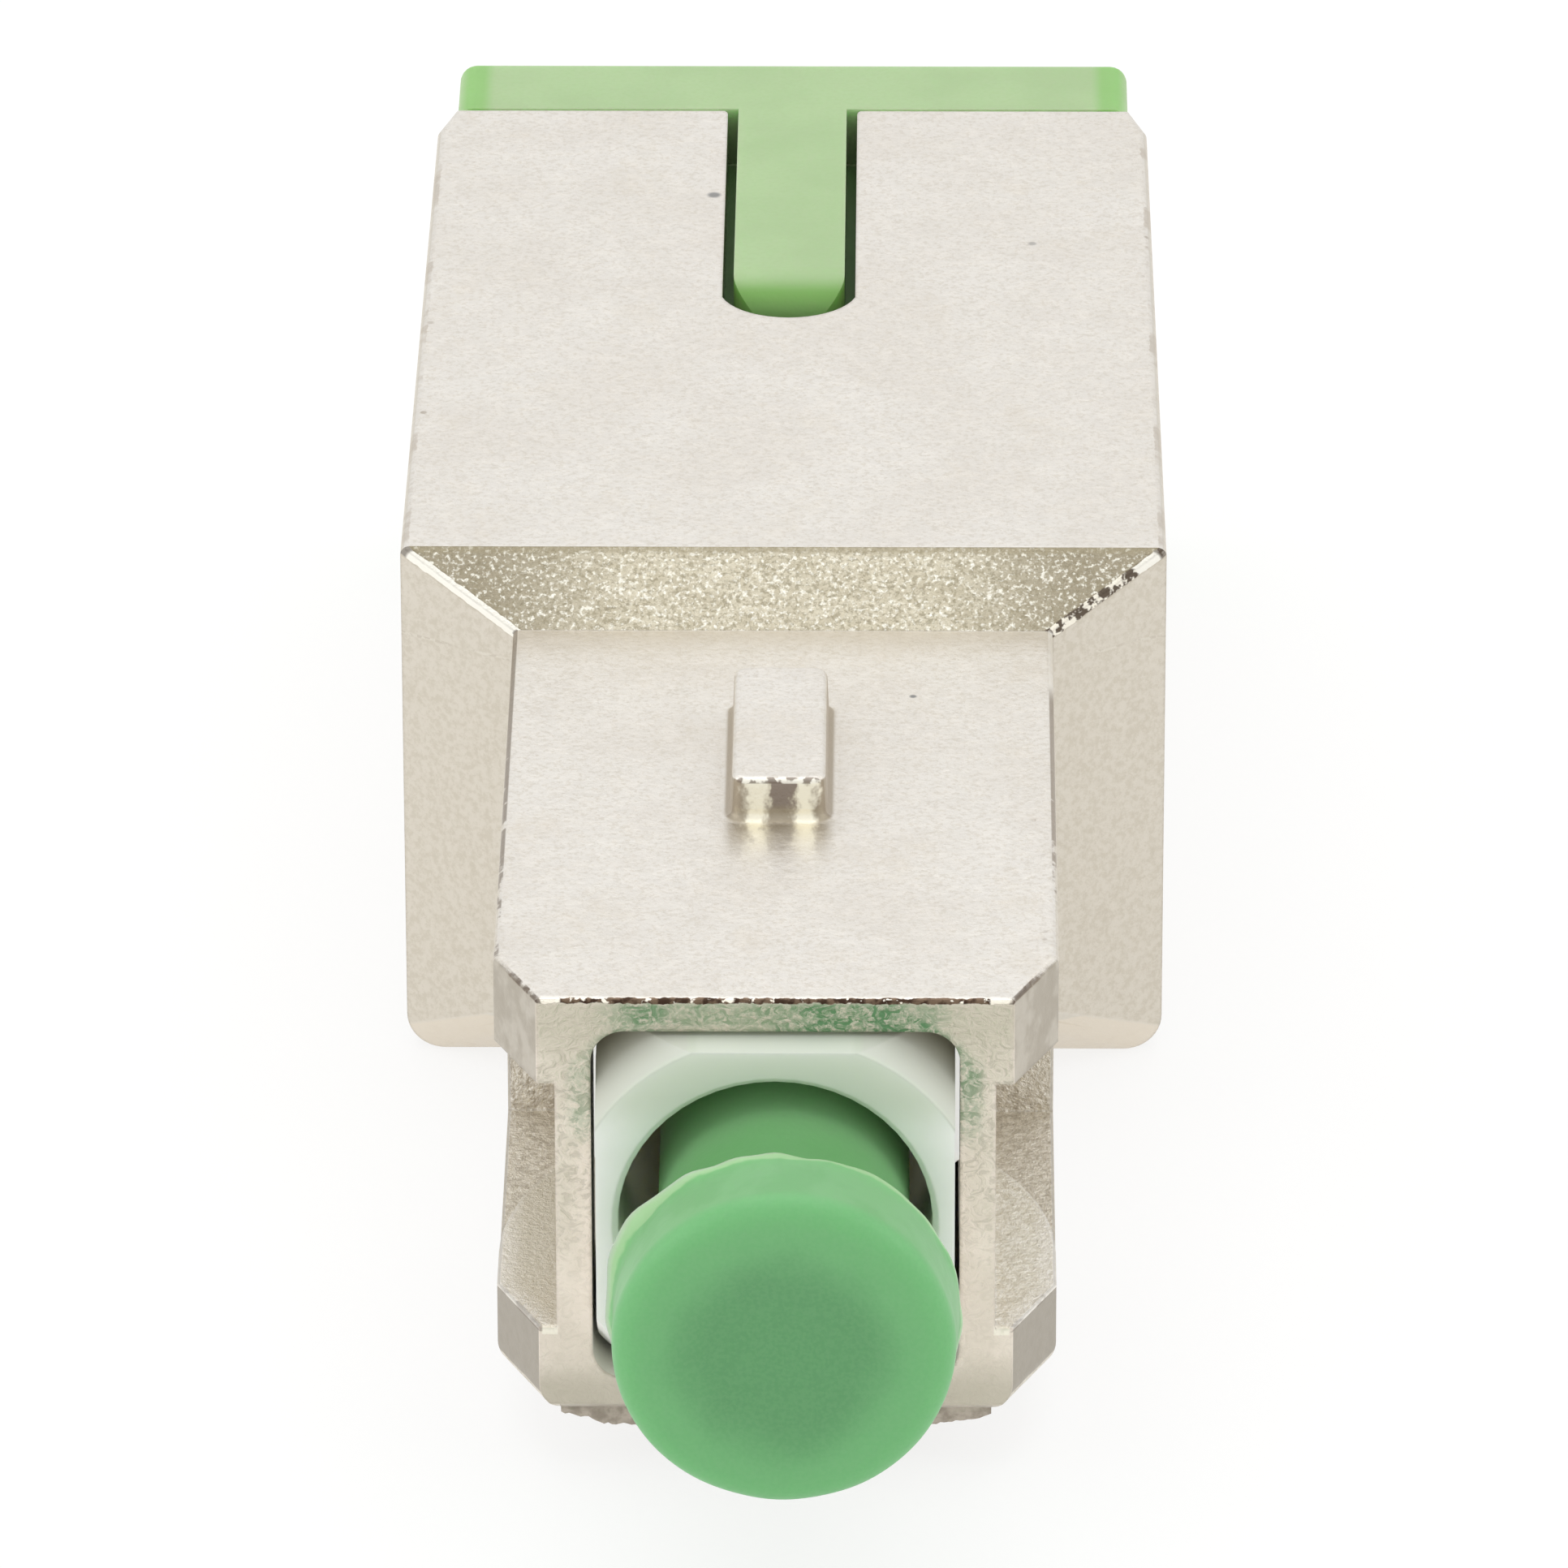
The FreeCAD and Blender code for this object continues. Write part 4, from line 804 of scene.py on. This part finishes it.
def fibre_glass():
    """Clear doped glass."""
    s = Surface("fibre_glass", Roughness=0.05, IOR=1.46)
    s.set("Base Color", s.blend(s.noise(3.0, 1.0), linear(228, 236, 240), linear(214, 226, 232)))
    s.set("Transmission Weight", 0.8)
    return s.material


def plain_rays(tree, mirrored):
    """Output that is 1 for camera and transmission rays, and for glossy ones too where mirrored."""
    path = tree.nodes.new("ShaderNodeLightPath")
    share = path.outputs["Is Camera Ray"]
    others = ["Is Transmission Ray"] + (["Is Glossy Ray"] if mirrored else [])
    for name in others:
        larger = tree.nodes.new("ShaderNodeMath")
        larger.operation = "MAXIMUM"
        tree.links.new(share, larger.inputs[0])
        tree.links.new(path.outputs[name], larger.inputs[1])
        share = larger.outputs[0]
    return share


def floor_white():
    """Pale floor that shows as white to the camera and keeps the object's soft shadow."""
    material = bpy.data.materials.new("floor_white")
    material.use_nodes = True
    tree = material.node_tree
    tree.nodes.clear()
    out = tree.nodes.new("ShaderNodeOutputMaterial")
    matte = tree.nodes.new("ShaderNodeBsdfDiffuse")
    matte.inputs["Color"].default_value = FLOOR_COLOUR
    glow = tree.nodes.new("ShaderNodeEmission")
    glow.inputs["Color"].default_value = (1.0, 1.0, 1.0, 1.0)
    glow.inputs["Strength"].default_value = FLOOR_GLOW_STRENGTH
    rays = plain_rays(tree, True)
    share = tree.nodes.new("ShaderNodeMath")
    share.operation = "MULTIPLY"
    share.inputs[1].default_value = FLOOR_GLOW
    tree.links.new(rays, share.inputs[0])
    mix = tree.nodes.new("ShaderNodeMixShader")
    tree.links.new(share.outputs[0], mix.inputs[0])
    tree.links.new(matte.outputs[0], mix.inputs[1])
    tree.links.new(glow.outputs[0], mix.inputs[2])
    tree.links.new(mix.outputs[0], out.inputs["Surface"])
    return material


def paint(piece, material):
    """Give a piece one material in place of what it came with."""
    piece.data.materials.clear()
    piece.data.materials.append(material)


def solid_from_rings(name, rings, pointed):
    """Closed mesh through rings of points in millimetres; a pointed one closes in two tips."""
    mesh = bmesh.new()
    rows = [[mesh.verts.new(point * MM) for point in ring] for ring in rings]
    count = len(rows[0])
    for lower, upper in zip(rows, rows[1:]):
        for index in range(count):
            after = (index + 1) % count
            mesh.faces.new((lower[index], lower[after], upper[after], upper[index]))
    for row in (rows[0], rows[-1]):
        if not pointed:
            mesh.faces.new(row)
            continue
        tip = mesh.verts.new(sum((vert.co for vert in row), Vector()) / count)
        for index in range(count):
            mesh.faces.new((row[index], row[(index + 1) % count], tip))
    bmesh.ops.recalc_face_normals(mesh, faces=mesh.faces)
    data = bpy.data.meshes.new(name)
    mesh.to_mesh(data)
    mesh.free()
    piece = bpy.data.objects.new(name, data)
    bpy.context.scene.collection.objects.link(piece)
    return piece


def ragged(turn, phases):
    """Uneven outline round a ring, within about one either way."""
    total = 0.0
    for index, phase in enumerate(phases):
        total += math.sin((3 * index + 2) * turn + phase) / (0.6 * index + 1.5)
    return total / 1.6


def cap_shift(y):
    """How far the cap's outside sits to the right of the bore at a place along it."""
    if y > CAP_HEAD_REAR_MM:
        return CAP_STEM_SHIFT_MM
    share = (CAP_HEAD_REAR_MM - y) / (CAP_HEAD_REAR_MM - CAP_FRONT_MM)
    return CAP_REAR_SHIFT_MM + share * (CAP_FRONT_SHIFT_MM - CAP_REAR_SHIFT_MM)


def cap_front_profile():
    """Dish and rounded front edge of the cap's head, as (y, radius) pairs."""
    points = []
    for index in range(1, 9):
        share = index / 8
        points.append((CAP_FRONT_MM + CAP_DISH_DEPTH_MM * (1 - share**2), CAP_DISH_R_MM * share))
    for index in range(8):
        angle = math.radians(180 - 90 * index / 7)
        y = CAP_FRONT_MM + CAP_ROUNDING_MM * (1 + math.cos(angle))
        points.append((y, CAP_HEAD_R_MM - CAP_ROUNDING_MM * (1 - math.sin(angle))))
    return points


def cap_rim_profile():
    """Thin rim at the back of the cap's head, and the small round into the stem."""
    rear = CAP_HEAD_REAR_MM
    head = CAP_HEAD_R_MM
    stem = CAP_STEM_R_MM
    return [
        (rear - 0.34, head + 0.005),
        (rear - 0.16, head + 0.02),
        (rear - 0.06, head + 0.03),
        (rear + 0.01, head + 0.01),
        (rear + 0.02, head - 0.10),
        (rear, stem + 0.20),
        (rear + 0.04, stem + 0.05),
        (rear + 0.16, stem),
    ]


def cap_profile():
    """Turned profile of the cap from its dish over the head and stem into the bore."""
    points = cap_front_profile() + cap_rim_profile()
    stem_length = CAP_STEM_END_MM - CAP_STEM_CHAMFER_MM - CAP_HEAD_REAR_MM
    for index in range(1, 9):
        points.append((CAP_HEAD_REAR_MM + stem_length * index / 8, CAP_STEM_R_MM))
    points.append((CAP_STEM_END_MM, CAP_STEM_R_MM - CAP_STEM_CHAMFER_MM))
    points.append((CAP_STEM_END_MM, CAP_BORE_R_MM + CAP_BORE_CHAMFER_MM))
    mouth = CAP_STEM_END_MM - CAP_BORE_CHAMFER_MM
    for index in range(9):
        points.append((mouth + (CAP_BORE_END_MM - mouth) * index / 8, CAP_BORE_R_MM))
    points += [(CAP_BORE_END_MM, CAP_BORE_R_MM * 0.5), (CAP_BORE_END_MM, CAP_BORE_R_MM * 0.1)]
    return points


def cap_ring(y, radius, phases, dents):
    """Points round the cap at one place of its profile, with the flash and the small dents."""
    outside = radius > CAP_BORE_R_MM + 0.25
    shift = cap_shift(y) if outside or y < CAP_BORE_END_MM else 0.0
    on_head = radius > CAP_STEM_R_MM + 0.3
    near_rim = max(0.0, 1 - abs(y - CAP_HEAD_REAR_MM) / CAP_FLASH_LENGTH_MM) if on_head else 0.0
    ring = []
    for index in range(CAP_STEPS):
        turn = 2 * math.pi * index / CAP_STEPS
        lobe = math.exp(-(((turn - math.pi + 0.45) / 0.33) ** 2))
        flash = CAP_FLASH_MM / 2 + CAP_FLASH_MM * ragged(turn, phases) + CAP_LOBE_MM * lobe
        reach = radius + near_rim * flash
        wave = near_rim * (0.07 * ragged(turn + 1.0, phases) + 0.06 * lobe)
        if outside and near_rim == 0.0 and y < CAP_HEAD_REAR_MM:
            reach += CAP_DENT_MM * ragged(turn, dents) * radius / CAP_HEAD_R_MM
        ring.append(Vector((shift + reach * math.cos(turn), y + wave, reach * math.sin(turn))))
    return ring


def ferrule_cap():
    """Soft cap with a thin ragged flash round the back of its head and a lobe on its left."""
    chance = random.Random(11)
    phases = [chance.uniform(0, 2 * math.pi) for _ in range(9)]
    dents = [chance.uniform(0, 2 * math.pi) for _ in range(5)]
    rings = [cap_ring(y, radius, phases, dents) for y, radius in cap_profile()]
    piece = solid_from_rings("soft_ferrule_cap", rings, True)
    piece.data.shade_smooth()
    paint(piece, waxy("cap_green", cap_tone, 0.9, 0.42))
    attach(piece, "cap")
    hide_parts("ferrule_cap")


def spring_line(share):
    """Point on the spring's centre line: closed end turns, with open ones between them."""
    turns = SPRING_TURNS * share
    wire = 2 * SPRING_WIRE_R_MM
    closed = wire * 1.02
    open_turns = SPRING_TURNS - 2 * SPRING_END_TURNS
    length = SPRING_END_MM - SPRING_START_MM - wire
    pitch = (length - 2 * closed * SPRING_END_TURNS) / open_turns
    first = min(turns, SPRING_END_TURNS)
    last = max(0.0, turns - SPRING_TURNS + SPRING_END_TURNS)
    rise = closed * (first + last) + pitch * (turns - first - last)
    angle = 2 * math.pi * turns
    x = SPRING_MEAN_R_MM * math.cos(angle)
    z = SPRING_MEAN_R_MM * math.sin(angle)
    return Vector((x, SPRING_START_MM + wire / 2 + rise, z))


def ferrule_spring():
    """Wound spring with closed ends, riding with the core; the real one shortens as the ferrule is
    pushed in, this mesh keeps its length.
    """
    rings = []
    for step in range(SPRING_STEPS + 1):
        share = step / SPRING_STEPS
        centre = spring_line(share)
        ahead = (spring_line(min(1, share + 0.001)) - spring_line(max(0, share - 0.001))).normalized()
        outward = Vector((centre.x, 0, centre.z)).normalized()
        other = ahead.cross(outward).normalized()
        ring = []
        for index in range(SPRING_WIRE_SIDES):
            turn = 2 * math.pi * index / SPRING_WIRE_SIDES
            ring.append(centre + SPRING_WIRE_R_MM * (outward * math.cos(turn) + other * math.sin(turn)))
        rings.append(ring)
    piece = solid_from_rings("wound_spring", rings, False)
    piece.data.shade_smooth()
    paint(piece, turned_metal("spring_wire", WIRE_TONES, 9.0))
    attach(piece, "core")
    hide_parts("ferrule_spring")
    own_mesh(piece)


def burr_ring(x, depth, chance):
    """Section of the casting flash at one place along the lower front edge."""
    edge = -PLUG_HALF_H_MM
    root = edge + 0.06
    return [
        Vector((x, 0.14, root)),
        Vector((x, 0.11, edge - 0.35 * depth)),
        Vector((x, 0.16 + chance.uniform(0, 0.03), edge - depth)),
        Vector((x, 0.34 + chance.uniform(0, 0.05), edge - depth + 0.02)),
        Vector((x, 0.60, root)),
    ]


def front_burr():
    """Ragged casting flash that hangs from the lower front edge."""
    chance = random.Random(5)
    rings = []
    drop = 0.0
    for step in range(BURR_STEPS + 1):
        place = 2 * step / BURR_STEPS - 1
        drop = 0.6 * drop + 0.4 * chance.uniform(-0.07, 0.07)
        depth = BURR_END_DEPTH_MM + min(BURR_MORE_DEPTH_MM, 0.50 * (1 - place**2)) + drop
        depth = max(BURR_LEAST_DEPTH_MM, depth)
        rings.append(burr_ring(BURR_HALF_W_MM * place, depth, chance))
    piece = solid_from_rings("front_burr", rings, False)
    paint(piece, cast_burr())
    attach(piece, "shell")


def camera():
    """The photograph's own viewpoint, shown with plain display colours."""
    bpy.context.scene.view_settings.view_transform = "Standard"
    data = bpy.data.cameras.new("photo_camera")
    data.sensor_width = SENSOR_MM
    data.lens = SENSOR_MM * FOCAL_PX / IMAGE_PX
    data.clip_start = 0.01
    data.clip_end = 20.0
    made = bpy.data.objects.new("photo_camera", data)
    bpy.context.scene.collection.objects.link(made)
    azimuth = math.radians(CAMERA_AZIMUTH)
    elevation = math.radians(CAMERA_ELEVATION)
    flat = math.cos(elevation)
    back = Vector((math.sin(azimuth) * flat, -math.cos(azimuth) * flat, math.sin(elevation)))
    right = (-back).cross(Vector((0, 0, 1))).normalized()
    up = right.cross(-back)
    turn = math.radians(CAMERA_ROLL)
    rolled_right = math.cos(turn) * right + math.sin(turn) * up
    rolled_up = math.cos(turn) * up - math.sin(turn) * right
    axes = Matrix((rolled_right, rolled_up, back)).transposed().to_4x4()
    made.matrix_world = Matrix.Translation(CAMERA_AT) @ axes
    bpy.context.scene.camera = made


def softbox(name, at, towards, size, watts):
    """Square area lamp aimed at a point."""
    data = bpy.data.lights.new(name, "AREA")
    data.shape = "SQUARE"
    data.size = size
    data.energy = watts
    made = bpy.data.objects.new(name, data)
    bpy.context.scene.collection.objects.link(made)
    made.location = at
    aim = Vector(towards) - Vector(at)
    made.rotation_euler = aim.to_track_quat("-Z", "Y").to_euler()


def studio_world():
    """A pale world, a little brighter behind the camera, seen as plain white behind the object."""
    world = bpy.data.worlds.new("studio")
    bpy.context.scene.world = world
    world.use_nodes = True
    tree = world.node_tree
    tree.nodes.clear()
    out = tree.nodes.new("ShaderNodeOutputWorld")
    lit = tree.nodes.new("ShaderNodeBackground")
    plain = tree.nodes.new("ShaderNodeBackground")
    plain.inputs["Color"].default_value = (1.0, 1.0, 1.0, 1.0)
    coordinate = tree.nodes.new("ShaderNodeTexCoord")
    split = tree.nodes.new("ShaderNodeSeparateXYZ")
    tree.links.new(coordinate.outputs["Generated"], split.inputs[0])
    tone = tree.nodes.new("ShaderNodeMapRange")
    tone.interpolation_type = "SMOOTHSTEP"
    tone.inputs["From Min"].default_value = -0.95
    tone.inputs["From Max"].default_value = 0.25
    tone.inputs["To Min"].default_value = WORLD_FRONT
    tone.inputs["To Max"].default_value = WORLD_BACK
    tree.links.new(split.outputs[1], tone.inputs["Value"])
    tree.links.new(tone.outputs["Result"], lit.inputs["Strength"])
    rays = plain_rays(tree, False)
    mix = tree.nodes.new("ShaderNodeMixShader")
    tree.links.new(rays, mix.inputs[0])
    tree.links.new(lit.outputs[0], mix.inputs[1])
    tree.links.new(plain.outputs[0], mix.inputs[2])
    tree.links.new(mix.outputs[0], out.inputs["Surface"])


def surroundings():
    """The world, the floor and three soft lamps."""
    studio_world()
    bpy.ops.mesh.primitive_plane_add(size=FLOOR_SIZE, location=(0, 0, FLOOR_LEVEL))
    floor = bpy.context.object
    floor.name = "floor"
    paint(floor, floor_white())
    for lamp in LAMPS:
        softbox(*lamp)


def dress_nodes():
    """Materials of the pieces that keep their own solids."""
    looks = {
        "outer_shell": nickel_plate(),
        "plug_frame": white_plastic(),
        "latch_insert": insert_plastic(),
        "split_sleeve": zirconia(),
        "ferrule_flange": turned_metal("flange_metal", FLANGE_TONES, 6.0),
        "spring_seat": turned_metal("seat_metal", SEAT_TONES, 6.0),
        "attenuating_fibre": fibre_glass(),
        "socket_dust_plug": waxy("dust_green", dust_tone, 0.6, 0.5),
    }
    looks["ferrule"] = looks["split_sleeve"]
    for name, material in looks.items():
        paint(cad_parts[name], material)


camera()
surroundings()
dress_nodes()
ferrule_cap()
ferrule_spring()
front_burr()
